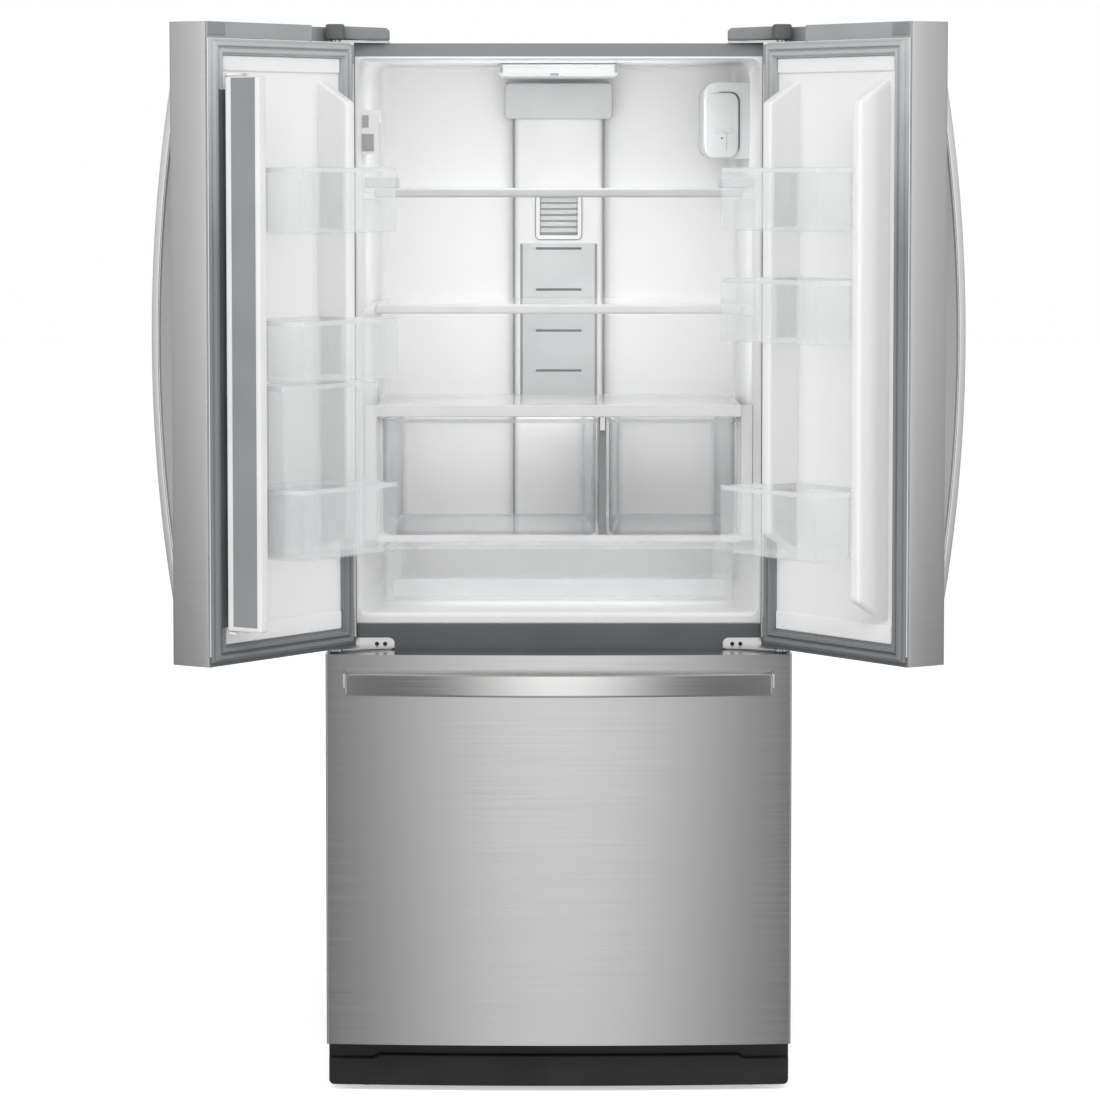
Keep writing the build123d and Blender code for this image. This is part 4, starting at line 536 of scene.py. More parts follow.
ease(bm, [e for e in bm.edges if all(v.co.y < tower_front + 0.001 for v in e.verts)
          and abs(e.verts[0].co.x - e.verts[1].co.x) < 0.001], 0.010, 5)
for z in (panel_low, panel_middle, panel_top, louvre_low, louvre_top):
    cut(bm, forward(bm), (0, 0, z), (0, 0, 1))
for half, low, high in ((slit_half, panel_top, tower_top), (outlet_half, panel_low, panel_top),
                        (panel_half, tower_low, tower_top)):
    for x in (-half, half):
        cut(bm, forward(bm, low, high), (x, 0, 0), (1, 0, 0))
for top, height, half in slits + outlets:
    for z in (top, top - height):
        cut(bm, forward(bm), (0, 0, z), (0, 0, 1))
holes = [f for f in forward(bm) if any(
    abs(f.calc_center_median().x) < half and top - height < f.calc_center_median().z < top
    for top, height, half in slits + outlets)]
sunk = bmesh.ops.extrude_discrete_faces(bm, faces=holes)["faces"]
bmesh.ops.translate(bm, vec=(0, 0.006, 0), verts=list({v for f in sunk for v in f.verts}))
# Painted shade under the shelves: the front from the lowest outlet up to the louvre takes pale grey, its
# middle panel below the lower shelf a darker silver grey, and the louvre's back pale grey.
for f in forward(bm, panel_low):
    middle = f.calc_center_median()
    if middle.z < panel_middle and abs(middle.x) < panel_half:
        f.material_index = 3
    elif middle.z < panel_top or abs(middle.x) < slit_half and louvre_low < middle.z < louvre_top:
        f.material_index = 2
# The slit floors are painted dark grey, and those of the louvre silver grey: painted shade inside the slits.
for f in sunk:
    f.material_index = 1 if f.calc_center_median().z < panel_top else 3
# Two dark strips along the tower's sides: painted shadow lines where it meets the wall.
for x in (-0.0768, 0.0768):
    moulding(bm, (x - 0.0030, tower_front + 0.010, tower_low), (x + 0.0030, tower_back, 1.576),
             0.0008, 2, finish=1)
piece_of(bm, "air_tower_duct", "cabinet", "white_plastic", white_abs, lens_and_shade_grey, pale_grey_abs, silver_abs,
         stands_for="air_tower")
bezel_half, bezel_low, bezel_top, bezel_corner = 0.0392, 1.3675, 1.4470, 0.007
bm = bmesh.new()
moulding(bm, (-0.0930, front + 0.552, 1.574), (0.0930, tower_back, 1.637), 0.004, 4,
         along=1, corner=0.008, finish=2)
# Two narrow dark ribs beside the panel: painted shadow lines along its edges.
for x in (-0.0645, 0.0645):
    moulding(bm, (x - 0.0022, tower_front - 0.001, 1.0960), (x + 0.0022, tower_front + 0.002, 1.3590),
             0.0008, 2, finish=1)
# The first ring is a dark outline just outside and inside the frame, painted shadow round it; the second is
# the white frame.
for grow, width, rise, index in ((0.0016, 0.0098, 0.0012, 1), (0.0, 0.0066, 0.006, 0)):
    before = set(bm.faces)
    half, low, high = bezel_half + grow, bezel_low - grow, bezel_top + grow
    ring = [bm.verts.new((x, tower_front + 0.001, z)) for x, z in (
        (-half, low), (half, low), (half, high), (-half, high))]
    bm.faces.new(ring)
    round_off(bm, ring, bezel_corner + grow, 5)
    plate = fresh(bm.faces, before)
    rim = bmesh.ops.inset_region(bm, faces=plate, thickness=width, use_even_offset=True,
                                 use_boundary=True)["faces"]
    bmesh.ops.delete(bm, geom=plate, context="FACES_ONLY")
    pull(bm, bmesh.ops.extrude_face_region(bm, geom=rim)["geom"], (0, -rise - 0.001, 0))
    bezel = fresh(bm.faces, before)
    bmesh.ops.recalc_face_normals(bm, faces=bezel)
    for f in bezel:
        f.material_index = index
piece_of(bm, "air_tower_cover", "cabinet", "white_plastic", white_abs, lens_and_shade_grey, pale_grey_abs)

# Control housing: a shallow pale grey ABS moulding with round ends that is screwed to the ceiling. Its
# front has a raised band, and a small grey lens below that.
bm = bmesh.new()
moulding(bm, (-0.102, front + 0.350, 1.643), (0.102, front + 0.545, 1.6665), 0.007, 4, along=1, corner=0.010)
moulding(bm, (-0.094, front + 0.347, 1.648), (0.094, front + 0.352, 1.664), 0.0015, 2)
piece_of(bm, "control_cover", "cabinet", "white_plastic", pale_grey_abs, stands_for="control_housing")
bm = bmesh.new()
moulding(bm, (-0.014, front + 0.345, 1.6445), (0.000, front + 0.349, 1.6485), 0.001, 2)
# Two small grey marks at the ends of the raised band: painted shade there.
for x in (-0.097, 0.097):
    moulding(bm, (x - 0.002, front + 0.349, 1.650), (x + 0.002, front + 0.3505, 1.662), 0.0008, 2)
piece_of(bm, "control_lens_and_end_shades", "cabinet", "grey_plastic", lens_and_shade_grey)

# Water filter housing: a pale grey moulding in the upper right corner with a curved inner side, a silver
# grey door and a latch below. A dark grey plate behind the door's edge paints the shadow in its seam, and a
# small dark square sits on the latch.
dark_grey_abs = moulded("dark_grey_abs", "#66686a", "#5e6062", 0.0016, 0.2, 0.42)
low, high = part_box("filter_housing")
bm = bmesh.new()
moulding(bm, low, high + Vector((0.024, 0.0, 0.0)), 0.003, along=1, corner=0.022)
moulding(bm, low + Vector((0.0015, -0.004, 0.002)), low + Vector((0.0565, 0.006, 0.110)), 0.0025,
         along=1, corner=0.016, finish=1)
piece_of(bm, "filter_cover", "cabinet", "white_plastic", pale_grey_abs, silver_abs,
         stands_for="filter_housing")
# Painted shadow: a dark plate that shows past the door's top and right edges.
bm = bmesh.new()
moulding(bm, low + Vector((0.014, -0.0012, 0.006)), low + Vector((0.0590, 0.002, 0.1118)), 0.0008, 2,
         along=1, corner=0.016)
moulding(bm, low + Vector((0.027, -0.0055, 0.033)), low + Vector((0.031, -0.003, 0.037)), 0.001, 2)
piece_of(bm, "filter_seam_shade", "cabinet", "grey_plastic", dark_grey_abs)
bm = bmesh.new()
moulding(bm, low + Vector((0.018, -0.0052, 0.043)), low + Vector((0.046, -0.002, 0.050)), 0.001, 2)
moulding(bm, low + Vector((0.025, -0.0052, 0.015)), low + Vector((0.037, -0.002, 0.046)), 0.001, 2)
piece_of(bm, "filter_latch", "cabinet", "grey_plastic", silver_abs)


# Water dispenser: a small white moulding on the left wall with a pocket and a hinged grey paddle in it.
# Two light grey patches on its front paint the shade of a slot and a recess. It is screwed to the lining.
def softened(name, node, radius, body, slot, *finishes):
    """A moulded copy of a solid that stands for it, with its edges rounded."""
    bm = bmesh.new()
    bm.from_mesh(frame["nodes"][node].data)
    bmesh.ops.remove_doubles(bm, verts=bm.verts, dist=1e-5)
    bmesh.ops.dissolve_limit(bm, angle_limit=math.radians(0.5), verts=bm.verts, edges=bm.edges)
    ease(bm, folds(bm.edges), radius, 2)
    return piece_of(bm, name, body, slot, *finishes, stands_for=node)


softened("dispenser_cover", "dispenser_housing", 0.0015, "cabinet", "white_plastic", white_abs)
grey_abs = moulded("grey_abs", "#8f9193", "#868889", 0.0016, 0.2, 0.4)
light_grey_abs = moulded("light_grey_abs", "#a6a8a9", "#9fa1a2", 0.0016, 0.2, 0.38)
dress(grey_abs, "dispenser_paddle")
bm = bmesh.new()
moulding(bm, (-0.3185, front + 0.0985, 1.5565), (-0.3085, front + 0.102, 1.5765), 0.0008, 2)
moulding(bm, (-0.3190, front + 0.0985, 1.5180), (-0.3000, front + 0.102, 1.5460), 0.0008, 2)
piece_of(bm, "dispenser_recess_shades", "cabinet", "grey_plastic", light_grey_abs)


# Shelves: plates of tempered glass with a moulded ABS trim snapped onto the front edge, resting on the
# lining's ledges between small end stops. The same glass covers the crispers.
def see_through(finish, blend, begin, thin, dense):
    """Lets a finish be seen through: well when it is faced, less where it is seen along its wall."""
    tree = finish.node_tree
    slant = add(tree, "LayerWeight", {"Blend": blend})
    depth = add(tree, "MapRange", {0: slant.outputs["Facing"], 1: begin, 3: thin, 4: dense})
    plug(tree, tree.nodes["Principled BSDF"], {"Alpha": depth.outputs[0]})
    return finish


# Tempered glass: clear, with faint smears, and almost white where it is seen edge on.
shelf_glass = clouded("tempered_glass", 0.05, 3.0, "#e9ebea", "#eff0f0", (0.02, 0.09), {"IOR": 1.52})
see_through(shelf_glass, 0.5, 0.90, 0.2, 0.85)
dress(shelf_glass, "glass_shelves", "crisper_cover")
bm = bmesh.new()
# The upper trim takes pale grey and the lower one white: the same trim, and the upper one's grey is painted
# shade.
for index, shelf_top in enumerate(shelf_tops):
    moulding(bm, (-0.300, front + 0.140, shelf_top - 0.015), (0.300, front + 0.156, shelf_top), 0.004, 4,
             finish=index)
piece_of(bm, "shelf_front_trims", "cabinet", "white_plastic", pale_grey_abs, white_abs,
         stands_for="shelf_trims")
bm = bmesh.new()
for side in (-1, 1):
    moulding(bm, (side * 0.260, front + 0.148, 1.4585), (side * 0.316, front + 0.160, 1.476), 0.002)
piece_of(bm, "shelf_end_stops", "cabinet", "grey_plastic", pale_grey_abs)

# Crisper frame: a white moulded deck, beam and divider that carry the drawers below the glass cover,
# with strips that close the gap to the side walls. The divider's edge is grey. It hangs on the lining.
crisper_low, crisper_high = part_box("crisper_left")
divider_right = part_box("crisper_right")[0].x
carrier = softened("crisper_carrier", "crisper_frame", 0.0015, "cabinet", "white_plastic",
                   white_abs, grey_abs)
for face in carrier.data.polygons:
    middle = face.center
    if crisper_high.x < middle.x < divider_right and crisper_low.z < middle.z < crisper_high.z:
        face.material_index = 1
bm = bmesh.new()
for side in (-1, 1):
    moulding(bm, (side * 0.299, front + 0.146, 0.880), (side * 0.3185, front + 0.152, 1.103), 0.002)
piece_of(bm, "crisper_side_strips", "cabinet", "white_plastic", white_abs)
dress(white_abs, "humidity_slider", "upper_basket", "freezer_basket")


# Crispers and pantry drawer: clear polystyrene, injection moulded with rounded corners and a stiffening
# rim, narrower at the back. They slide on the frame and on the lining's floor.
def clear_moulding(name, deep, pale, thin, dense):
    """Clear moulded polystyrene, as dense as it looks when it is faced and when it is seen along."""
    finish = clouded(name, 0.06, 3.0, deep, pale, (0.06, 0.14), {"IOR": 1.59})
    return see_through(finish, 0.35, 0.0, thin, dense)


# Clear polystyrene is glossy and nearly unseen when faced, milky at its thick edges. The crispers' copy
# is tinted grey where its sides and floor are seen along, as painted shade inside them.
clear_styrene = clear_moulding("clear_polystyrene", "#eceeef", "#f4f5f6", 0.07, 0.5)
clear_rim = clear_moulding("clear_polystyrene_edge", "#eceeef", "#f4f5f6", 0.3, 0.5)
shade_grey_styrene = clear_moulding("clear_polystyrene_painted_shade_grey", "#85878a", "#949698", 0.03, 0.75)


def thin_wall(bm, before, bottom, wall, rim, corner, foot, steps):
    """Makes the box that was made last an open tray, or a rim: rounds it and gives its wall a thickness."""
    lids = [f for f in fresh(bm.faces, before) if f.normal.z > 0.9 or (rim and f.normal.z < -0.9)]
    bmesh.ops.delete(bm, geom=lids, context="FACES_ONLY")
    edges = {e for f in fresh(bm.faces, before) for e in f.edges}
    ease(bm, [e for e in edges if abs(e.verts[0].co.z - e.verts[1].co.z) > 0.003], corner, steps)
    if not rim:
        edges = {e for f in fresh(bm.faces, before) for e in f.edges}
        lowest = [e for e in edges if max(v.co.z for v in e.verts) < bottom + 1e-5]
        ease(bm, folds(lowest, 60), foot, steps - 1)
    bmesh.ops.solidify(bm, geom=fresh(bm.faces, before), thickness=wall)
    for f in fresh(bm.faces, before):
        f.material_index = rim


drawer_corner, drawer_taper, drawer_rim = 0.014, 0.036, 0.006
for name, node, shell_finish, lip in (
        ("left_crisper", "crisper_left", shade_grey_styrene, None),
        ("right_crisper", "crisper_right", shade_grey_styrene, None),
        ("wide_pantry", "pantry_drawer", clear_styrene, (0.787, 0.817))):
    low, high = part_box(node)
    bm = bmesh.new()
    for bottom, grow, wall, rim in ((low.z, 0.0, 0.0025, 0), (high.z - drawer_rim, 0.001, 0.004, 1)):
        before = set(bm.faces)
        edge = Vector((grow, 0.0, 0.0))
        made = block(bm, Vector((low.x, low.y, bottom)) - edge, high + edge)
        rear = [v for v in made if v.co.y > (low.y + high.y) / 2]
        bmesh.ops.scale(bm, vec=(1 - drawer_taper / (high.x - low.x), 1.0, 1.0), verts=rear,
                        space=Matrix.Translation((-(low.x + high.x) / 2, 0.0, 0.0)))
        thin_wall(bm, before, bottom, wall, rim, drawer_corner, drawer_corner * 0.6, 5)
    if lip:
        moulding(bm, (low.x + drawer_corner, low.y + 0.0026, lip[0]),
                 (high.x - drawer_corner, low.y + 0.0066, lip[1]), 0.0014, 2, finish=1)
    drawer = piece_of(bm, name, node, "clear_plastic", shell_finish, clear_rim, stands_for=node)
    drawer.visible_shadow = False


# Hinges: pressed steel plates with pins, zinc plated and screwed to the cabinet, and moulded grey ABS
# covers with round knuckles over the upper ones.
def prism(bm, corners, shift):
    """A flat outline drawn out to a solid, and the edges of that."""
    before = set(bm.edges)
    outline = bm.faces.new([bm.verts.new(corner) for corner in corners])
    pull(bm, bmesh.ops.extrude_face_region(bm, geom=[outline])["geom"], shift)
    edges = fresh(bm.edges, before)
    bmesh.ops.recalc_face_normals(bm, faces=list({f for e in edges for f in e.link_faces}))
    return edges


# Zinc plate: bright, with a fine cloudy bloom.
zinc_plate = clouded("zinc_plated_steel", 0.008, 3.0, "#c4c5c4", "#dcdddc", (0.14, 0.24), {"Metallic": 1.0})
dress(zinc_plate, "top_hinges", "freezer_rails", "drawer_slides")
hinge_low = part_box("centre_hinges")[0].z
bm = bmesh.new()
for side in (-1, 1):
    inner, outer = side * 0.264, side * 0.366
    moulding(bm, (inner, front - 0.003, hinge_low), (outer, front, hinge_low + 0.0205), 0.0008, 3,
             along=1, corner=0.0100)
    arm = prism(bm, [(x, front + y, hinge_low + 0.003) for x, y in (
        (outer, -0.003), (side * 0.368, -0.042), (side * 0.346, -0.042), (inner, -0.003))], (0, 0, 0.003))
    ease(bm, folds(arm, 50), 0.0006, 2)
    knuckle = Vector((side * 0.357, front - 0.042, hinge_low + 0.0045))
    for radius, length in ((0.011, 0.003), (0.005, 0.025)):
        peg(bm, knuckle + Vector((0, 0, (length - 0.003) / 2)), radius, radius, length, 28)
piece_of(bm, "centre_hinge_brackets", "cabinet", "zinc_steel", zinc_plate, stands_for="centre_hinges")
bm = bmesh.new()
for x in (-0.280, -0.293, 0.280, 0.293):
    peg(bm, (x, front - 0.0033, hinge_low + 0.0100), 0.0036, 0.0030, 0.0008, 20,
        Matrix.Rotation(math.pi / 2, 4, "X"))
piece_of(bm, "centre_hinge_screws", "cabinet", "black_plastic", black_polypropylene)
cover_low, cover_top = 1.6945, 1.7175
bm = bmesh.new()
for side in (-1, 1):
    moulding(bm, (side * 0.370, front - 0.060, cover_low), (side * 0.340, front - 0.027, 1.719), 0.003, 4,
             along=2, corner=0.012)
piece_of(bm, "hinge_knuckles", "cabinet", "grey_cap", dark_grey_abs)
bm = bmesh.new()
for side in (-1, 1):
    made = block(bm, (side * 0.368, front - 0.030, cover_low), (side * 0.272, front + 0.060, cover_top))
    inner = [v for v in made if abs(v.co.x) < 0.3 and v.co.z > 1.7]
    bmesh.ops.translate(bm, vec=(0, 0, -0.004), verts=inner)
    ease(bm, {e for v in made for e in v.link_edges}, 0.004, 4)
piece_of(bm, "hinge_caps", "cabinet", "grey_cap", grey_abs, stands_for="hinge_covers")


# Door skins: brushed stainless steel sheet, bowed in plan, folded back at both edges and turned in
# behind. The brushing runs across the door, and the foam holds the sheet.
def brushed(name, deep, pale):
    """Brushed stainless steel: fine level lines that draw its highlights out upwards. The real grit
    leaves lines a tenth of a millimetre apart; they are drawn at 1.1 mm, and weakly, so that they show."""
    finish, tree, shader, place = finish_of(name)
    along = add(tree, "Mapping", {"Vector": place, "Scale": (1 / 0.30, 1 / 0.30, 1 / 0.0011)})
    lines = add(tree, "TexNoise", {"Vector": along.outputs[0], "Scale": 1.0, "Detail": 3.0})
    tone = add(tree, "Mix", {
        0: lines.outputs["Fac"], 6: linear(deep), 7: linear(pale)}, data_type="RGBA")
    gloss = add(tree, "MapRange", {0: lines.outputs["Fac"], 1: 0.3, 2: 0.7, 3: 0.19, 4: 0.25})
    grooves = add(tree, "Bump", {
        "Height": lines.outputs["Fac"], "Strength": 0.05, "Distance": 0.0003})
    plug(tree, shader, {"Base Color": tone.outputs[2], "Roughness": gloss.outputs[0],
                        "Normal": grooves.outputs["Normal"], "Metallic": 1.0})
    return finish


brushed_steel = brushed("brushed_stainless_steel", "#d6d7d7", "#dddddc")
hinge = next(joint for joint in frame["joints"] if joint["name"] == "left_door_hinge")
pin = Vector(hinge["pos_m"])
swing = math.radians(hinge["range_deg"][0])
hinge_edge, free_edge, door_low, door_top = -0.373, -0.002, 0.726, 1.715
inner_plane, bow_radius, bow_centre = -0.013, 4.35578, 4.26828
sheet, crown_rise, return_width, fold_radius = 0.001, 0.001, 0.010, 0.0035


def hang(bm, side):
    """Turns a piece made on the shut left door to where that door rests, or mirrors it to the right door."""
    bmesh.ops.translate(bm, vec=(0.0, front, 0.0), verts=bm.verts)
    bmesh.ops.rotate(bm, cent=pin, matrix=Matrix.Rotation(swing, 3, "Z"), verts=bm.verts)
    if side == "right":
        bmesh.ops.scale(bm, vec=(-1.0, 1.0, 1.0), verts=bm.verts)
        bmesh.ops.reverse_faces(bm, faces=bm.faces)


def front_at(x):
    """Where the bowed front is, at a place across it."""
    return bow_centre - math.sqrt(bow_radius * bow_radius - x * x)


def bowed_skin(left, right, low, high, steps):
    """A bowed sheet, its sides folded back with a slight crown to the inner plane, and a return behind."""
    bm = bmesh.new()
    ends = [bm.verts.new((left, front_at(left), z)) for z in (low, high)]
    turn = math.asin(right / bow_radius) - math.asin(left / bow_radius)
    bmesh.ops.spin(bm, geom=ends + [bm.edges.new(ends)], cent=(0.0, bow_centre, 0.0), axis=(0.0, 0.0, 1.0),
                   angle=turn, steps=steps, use_duplicate=False)
    for x, inward in ((left, 1.0), (right, -1.0)):
        edge = [e for e in bm.edges if all(abs(v.co.x - x) < 1e-5 for v in e.verts)]
        half = (inner_plane - front_at(x)) / 2
        crown = half * half / (2 * crown_rise)
        middle = (x + inward * math.sqrt(crown * crown - half * half), front_at(x) + half, 0.0)
        grown = bmesh.ops.spin(bm, geom=edge + list({v for e in edge for v in e.verts}), cent=middle,
                               axis=(0.0, 0.0, 1.0), angle=-inward * 2 * math.asin(half / crown), steps=6,
                               use_duplicate=False)["geom_last"]
        edge = [g for g in grown if isinstance(g, bmesh.types.BMEdge)]
        pull(bm, bmesh.ops.extrude_edge_only(bm, edges=edge)["geom"], (inward * return_width, 0.0, 0.0))
    face_front(bm)
    ease(bm, folds(bm.edges, 60), fold_radius, 5)
    return bm


notch_low, notch_front, notch_right = 1.687, -0.062, -0.30
for side in ("left", "right"):
    bm = bowed_skin(hinge_edge, free_edge, door_low, door_top, 14)
    cut(bm, bm.faces, (0, 0, notch_low), (0, 0, 1))
    upper = [f for f in bm.faces if f.calc_center_median().z > notch_low]
    cut(bm, upper, (0, notch_front, 0), (0, 1, 0))
    notch = []
    for f in bm.faces:
        middle = f.calc_center_median()
        if middle.z > notch_low and middle.x < notch_right and middle.y > notch_front:
            notch.append(f)
    bmesh.ops.delete(bm, geom=notch, context="FACES")
    bmesh.ops.solidify(bm, geom=bm.faces, thickness=sheet)
    hang(bm, side)
    piece_of(bm, side + "_door_sheet", side + "_door", "stainless", brushed_steel,
             stands_for=side + "_door_skin")

# Door end caps: ABS mouldings that close the sheet, light grey; the bottom ones are painted dark grey, as
# painted shade. They are pushed in and carry the hinge bushes, a black stop and a grey insert near the free
# edge.
for side in ("left", "right"):
    caps = softened(side + "_door_ends", side + "_door_caps", 0.0012, side + "_door", "grey_cap",
                    light_grey_abs, dark_grey_abs)
    # Faces below the middle of the door take the dark grey: painted shade on the bottom caps.
    for face in caps.data.polygons:
        face.material_index = int(face.center.z < 1.0)
    bm = bmesh.new()
    moulding(bm, (-0.285, -0.060, 1.686), (-0.264, -0.0340, 1.704), 0.002)
    moulding(bm, (-0.046, -0.0140, 1.694), (-0.006, -0.0115, 1.7135), 0.0010, 2, finish=1)
    hang(bm, side)
    piece_of(bm, side + "_door_stop", side + "_door", "black_plastic", black_polypropylene, grey_abs)

# Door linings: vacuum-formed white polystyrene with two raised upright ribs that hold the bins and a
# shallow raised band at the top and bottom. The foam holds them in the door. Two arms on the left one
# carry the flip mullion's pins. The ribs' flanks take a greyer white, as painted shade.
flank_shade_polystyrene = formed_sheet("polystyrene_painted_flank_shade", "#e0e0e0", "#e4e4e4")
band_left, band_right, rib_width, rib_crest, rib_slope, rib_top = -0.330, -0.038, 0.025, 0.045, 0.036, 1.630
behind = inner_plane - 0.002
for side in ("left", "right"):
    bm = bmesh.new()
    block(bm, (hinge_edge + 0.002, inner_plane - 0.003, 0.742), (free_edge - 0.002, inner_plane, 1.690))
    for low, high in ((1.640, 1.664), (0.758, 0.788)):
        moulding(bm, (band_left, behind, low), (band_right, inner_plane + 0.004, high), 0.003)
    for across, low in ((-0.300, 0.880), (-0.075, 0.790)):
        before = set(bm.faces)
        flank = ((behind, low), (rib_crest, low + rib_slope), (rib_crest, rib_top - rib_slope),
                 (behind, rib_top))
        rib = prism(bm, [(across, y, z) for y, z in flank], (rib_width, 0, 0))
        ease(bm, folds([e for e in rib if max(v.co.y for v in e.verts) > 0.0], 20), 0.007, 4)
        bm.normal_update()
        # Faces of the ribs that look sideways take the greyer white: painted shade on their flanks.
        for f in fresh(bm.faces, before):
            f.material_index = int(abs(f.normal.x) > 0.75)
    if side == "left":
        for low, high, pin_low in ((0.777, 0.781, 0.7805), (1.632, 1.636, 1.6305)):
            moulding(bm, (-0.060, behind, low), (-0.045, 0.0205, high), 0.001, 2)
            moulding(bm, (-0.060, 0.0070, low), (-0.024, 0.0205, high), 0.001, 2)
            peg(bm, (-0.030, 0.0105, pin_low + 0.001), 0.003, 0.003, 0.002, 20)
    hang(bm, side)
    piece_of(bm, side + "_door_panel", side + "_door", "white_lining", white_polystyrene, flank_shade_polystyrene,
             stands_for=side + "_door_liner")

# Gaskets: extruded soft vinyl with a magnet in the outer bead and bellows beside it, welded at the
# corners and pressed into a groove round the lining.
# Soft vinyl: grey and dull, with painted light that lightens it towards the top, starting a little unevenly.
vinyl_gasket, tree, shader, place = finish_of("grey_soft_vinyl")
height = add(tree, "SeparateXYZ", {0: place})
bloom = add(tree, "TexNoise", {"Vector": place, "Scale": 1 / 0.08, "Detail": 2.0})
level = add(tree, "Math", {
    0: bloom.outputs["Fac"], 1: 0.10, 2: height.outputs["Z"]}, operation="MULTIPLY_ADD")
painted_top_light = add(tree, "MapRange", {0: level.outputs[0], 1: 1.42, 2: 1.74})
tone = add(tree, "Mix", {
    0: painted_top_light.outputs[0], 6: linear("#7d7f81"), 7: linear("#b9bbbc")}, data_type="RGBA")
plug(tree, shader, {"Base Color": tone.outputs[2], "Roughness": 0.5, "IOR": 1.52})


def gasket(low_x, high_x, low_z, high_z):
    """A ring pressed round a lining: foot, bellows and magnet bead, stepped inwards from its outline."""
    bm = bmesh.new()
    ring = [bm.verts.new((x, inner_plane, z)) for x, z in (
        (low_x, low_z), (low_x, high_z), (high_x, high_z), (high_x, low_z))]
    middle = bm.faces.new(ring)
    middle.normal_update()
    if middle.normal.y < 0:
        bmesh.ops.reverse_faces(bm, faces=[middle])
    outer_bead = ((0.0004, 0.005), (0.0030, 0.0005), (0.0006, 0.004), (0.0012, 0.0018), (0.0050, 0.0004))
    bellows = ((0.0012, -0.0018), (0.0008, -0.003), (0.0016, 0.0), (0.0008, 0.003), (0.0012, 0.0018))
    inner_bead = ((0.0046, 0.0004), (0.0012, -0.0018), (0.0006, -0.004), (0.0024, -0.0005), (0.0004, -0.005))
    for width, rise in outer_bead + bellows + inner_bead:
        bmesh.ops.inset_region(bm, faces=[middle], thickness=width, depth=rise, use_even_offset=True,
                               use_boundary=True)
    bmesh.ops.delete(bm, geom=[middle], context="FACES_ONLY")
    return bm


for side in ("left", "right"):
    bm = gasket(-0.356, -0.0055, 0.733, 1.689)
    hang(bm, side)
    piece_of(bm, side + "_door_seal", side + "_door", "gasket_grey", vinyl_gasket,
             stands_for=side + "_door_gasket")

# Door bins: clear polystyrene trays that drop between the ribs, wider in front of them, with rounded
# corners and a thick upper edge. A tall clear tub stands in the lowest bin of the left door.
full_reach, tub_reach, rib_clear, bin_rim = 0.122, 0.085, 0.0465, 0.007
bin_levels = {
    "left": ((1.392, 1.492, full_reach), (1.164, 1.258, full_reach), (0.891, 1.000, full_reach),
             (0.896, 1.158, tub_reach)),
    "right": ((1.395, 1.492, full_reach), (1.222, 1.320, full_reach), (0.889, 0.995, full_reach))}
for side, levels in bin_levels.items():
    bm = bmesh.new()
    for low, high, reach in levels:
        plan = ((-0.275, -0.0127), (-0.075, -0.0127), (-0.075, rib_clear), (-0.062, rib_clear),
                (-0.062, reach), (-0.306, reach), (-0.306, rib_clear), (-0.275, rib_clear))
        for bottom, wall, rim in ((low, 0.0025, 0), (high - bin_rim, 0.004, 1)):
            before = set(bm.faces)
            prism(bm, [(x, y, bottom) for x, y in plan], (0, 0, high - bottom))
            thin_wall(bm, before, bottom, wall, rim, 0.006, 0.004, 4)
    hang(bm, side)
    trays = piece_of(bm, side + "_door_trays", side + "_door", "clear_plastic", clear_styrene, clear_rim,
                     stands_for=side + "_door_bins")
    trays.visible_shadow = False


# Door handles: bowed bars of stainless steel on two end posts, bolted through the sheet. Their steel is
# painted brighter than the sheet's, as painted highlight.
def bowed_bar(bm, corners, centre, axis, half_angle, inner, outer):
    """A bar of rounded section swept along a shallow arc. Its section is given at its middle, and the
    corners on the inner side come first."""
    done = set(bm.verts)
    ring = [bm.verts.new(corner) for corner in corners]
    bm.faces.new(ring)
    for some, radius in ((ring[:2], inner), (ring[2:], outer)):
        round_off(bm, some, radius, 4)
    section = fresh(bm.verts, done)
    lines = list({e for v in section for e in v.link_edges})
    faces = list({f for v in section for f in v.link_faces})
    bmesh.ops.rotate(bm, cent=centre, matrix=Matrix.Rotation(-half_angle, 3, axis), verts=section)
    bmesh.ops.spin(bm, geom=section + lines + faces, cent=centre, axis=axis, angle=2 * half_angle, steps=24,
                   use_duplicate=False)
    bmesh.ops.recalc_face_normals(bm, faces=bm.faces)
    ease(bm, folds(bm.edges, 60), 0.002)


# A brighter copy of the sheet's steel with the same gloss: painted highlight on the handles.
bright_handle_steel = brushed("stainless_steel_painted_brighter", "#f3f3f2", "#f9f9f8")
bar_low, bar_high, bar_left, bar_right, bar_thick = 0.827, 1.611, -0.065, -0.029, 0.017
bar_middle, bar_half, bar_bow = (bar_low + bar_high) / 2, (bar_high - bar_low) / 2, 0.039
bar_inner = front_at(-0.047) - 0.006 - bar_bow
bar_outer = bar_inner - bar_thick
bar_radius = arc_radius(bar_half, bar_bow)
for side in ("left", "right"):
    bm = bmesh.new()
    bowed_bar(bm, [(x, y, bar_middle) for x, y in (
        (bar_left, bar_inner), (bar_right, bar_inner), (bar_right, bar_outer), (bar_left, bar_outer))],
        (0.0, bar_inner + bar_radius, bar_middle), Vector((-1, 0, 0)), math.asin(bar_half / bar_radius),
        0.005, 0.003)
    for z in (bar_low + 0.006, bar_high - 0.040):
        moulding(bm, (-0.060, bar_inner + 0.028, z), (-0.034, front_at(-0.047) + 0.002, z + 0.034), 0.002)
    hang(bm, side)
    piece_of(bm, side + "_door_bar", side + "_door", "stainless", bright_handle_steel,
             stands_for=side + "_door_handle")

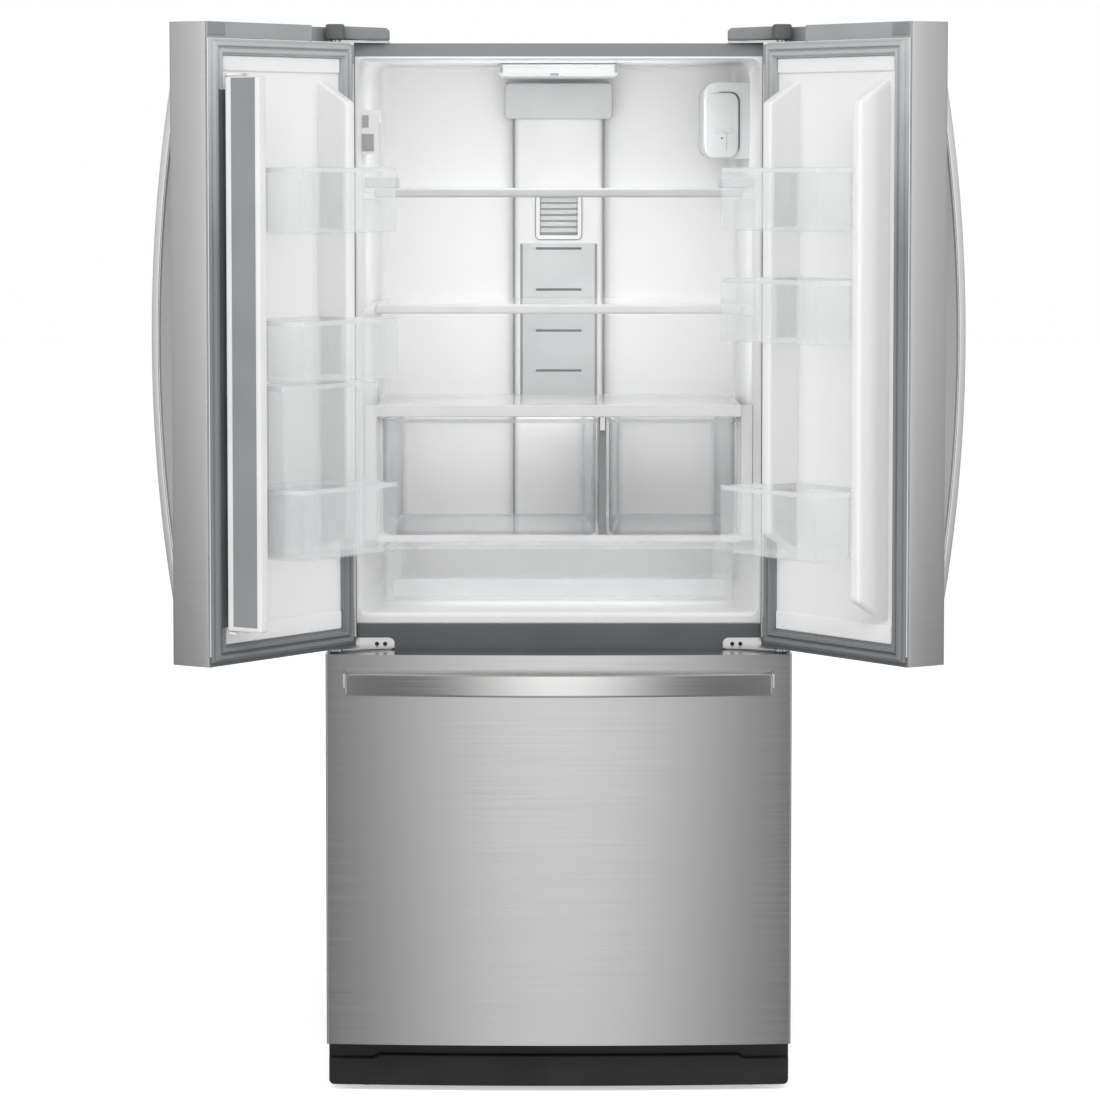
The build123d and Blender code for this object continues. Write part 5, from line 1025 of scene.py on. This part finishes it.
# Flip mullion: a white moulded bar hinged to the left door that closes the gap between the doors, with
# a grey painted steel plate that the gaskets hold to. A dark charcoal strip on the door beside its hinge
# side is painted shadow of the bar.
plate_paint = moulded("grey_plate_paint", "#8f9193", "#888a8c", 0.0025, 0.1, 0.4, 1.5)
shadow_charcoal_abs = moulded("shadow_charcoal_abs", "#5a5c5e", "#535557", 0.0016, 0.2, 0.45)
for name, body, slot, finish, stands_for, low, high, radius, steps in (
        ("mullion_bar", "flip_mullion", "white_plastic", white_abs, "flip_mullion",
         (-0.040, 0.007, 0.782), (-0.020, 0.073, 1.631), 0.004, 3),
        ("mullion_plate", "flip_mullion", "gasket_grey", plate_paint, None,
         (-0.0205, 0.020, 0.790), (-0.0190, 0.066, 1.629), 0.0005, 2),
        ("mullion_painted_shadow_strip", "left_door", "grey_plastic", shadow_charcoal_abs, None,
         (-0.0330, -0.0125, 0.786), (-0.0150, -0.0008, 1.612), 0.002, 2)):
    bm = bmesh.new()
    moulding(bm, low, high, radius, steps)
    hang(bm, "left")
    piece_of(bm, name, body, slot, finish, stands_for=stands_for)

# Freezer drawer front: the same bowed brushed sheet across the whole width, over foam, with a white
# formed lining behind it and a gasket round that.
front_half, front_low, front_top = 0.373, 0.086, 0.716
bm = bowed_skin(-front_half, front_half, front_low, front_top, 28)
for z in (front_low, front_top):
    rim = [e for e in bm.edges if all(abs(v.co.z - z) < 1e-5 for v in e.verts)]
    ends = [v for v in {v for e in rim for v in e.verts} if sum(e in rim for e in v.link_edges) == 1]
    bmesh.ops.edgeloop_fill(bm, edges=rim + [bm.edges.new(ends)])
face_front(bm)
ease(bm, [e for e in folds(bm.edges, 60) if abs(e.verts[0].co.z - e.verts[1].co.z) < 1e-5
          and max(v.co.y for v in e.verts) < inner_plane - 0.004], 0.003, 4)
bmesh.ops.solidify(bm, geom=bm.faces, thickness=sheet)
bmesh.ops.translate(bm, vec=(0, front, 0), verts=bm.verts)
piece_of(bm, "freezer_front_sheet", "freezer_drawer", "stainless", brushed_steel, stands_for="drawer_skin")
dress(white_polystyrene, "drawer_liner")
bm = gasket(-0.356, 0.356, 0.103, 0.709)
bmesh.ops.translate(bm, vec=(0, front, 0), verts=bm.verts)
piece_of(bm, "freezer_front_seal", "freezer_drawer", "gasket_grey", vinyl_gasket, stands_for="drawer_gasket")

# Freezer handle: a wide bowed bar of the same bright steel with flat end plugs, on two posts that are
# bolted through the drawer's front. Its upper inner edge is lower, where fingers reach over it.
grip_half, grip_low, grip_high, grip_out, grip_bow = 0.340, 0.653, 0.689, -0.1315, 0.031
grip_in, grip_reach = grip_out + bar_thick, grip_high - 0.0035
grip_radius = arc_radius(grip_half, grip_bow)
bm = bmesh.new()
bowed_bar(bm, [(0.0, y, z) for y, z in (
    (grip_in, grip_low), (grip_in, grip_reach), (grip_out, grip_high), (grip_out, grip_low))],
    (0.0, grip_out + grip_radius, 0.0), Vector((0, 0, 1)), math.asin(grip_half / grip_radius), 0.006, 0.004)
for x in (-0.317, 0.317):
    moulding(bm, (x - 0.017, -0.094, 0.658), (x + 0.017, front_at(x) + 0.002, 0.684), 0.004)
bmesh.ops.translate(bm, vec=(0, front, 0), verts=bm.verts)
for x in (-0.3420, 0.3420):
    moulding(bm, (x - 0.0022, front - 0.0975, 0.664), (x + 0.0022, front - 0.0830, 0.6885), 0.0015)
piece_of(bm, "freezer_bar", "freezer_drawer", "stainless", bright_handle_steel, stands_for="drawer_handle")

low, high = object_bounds()
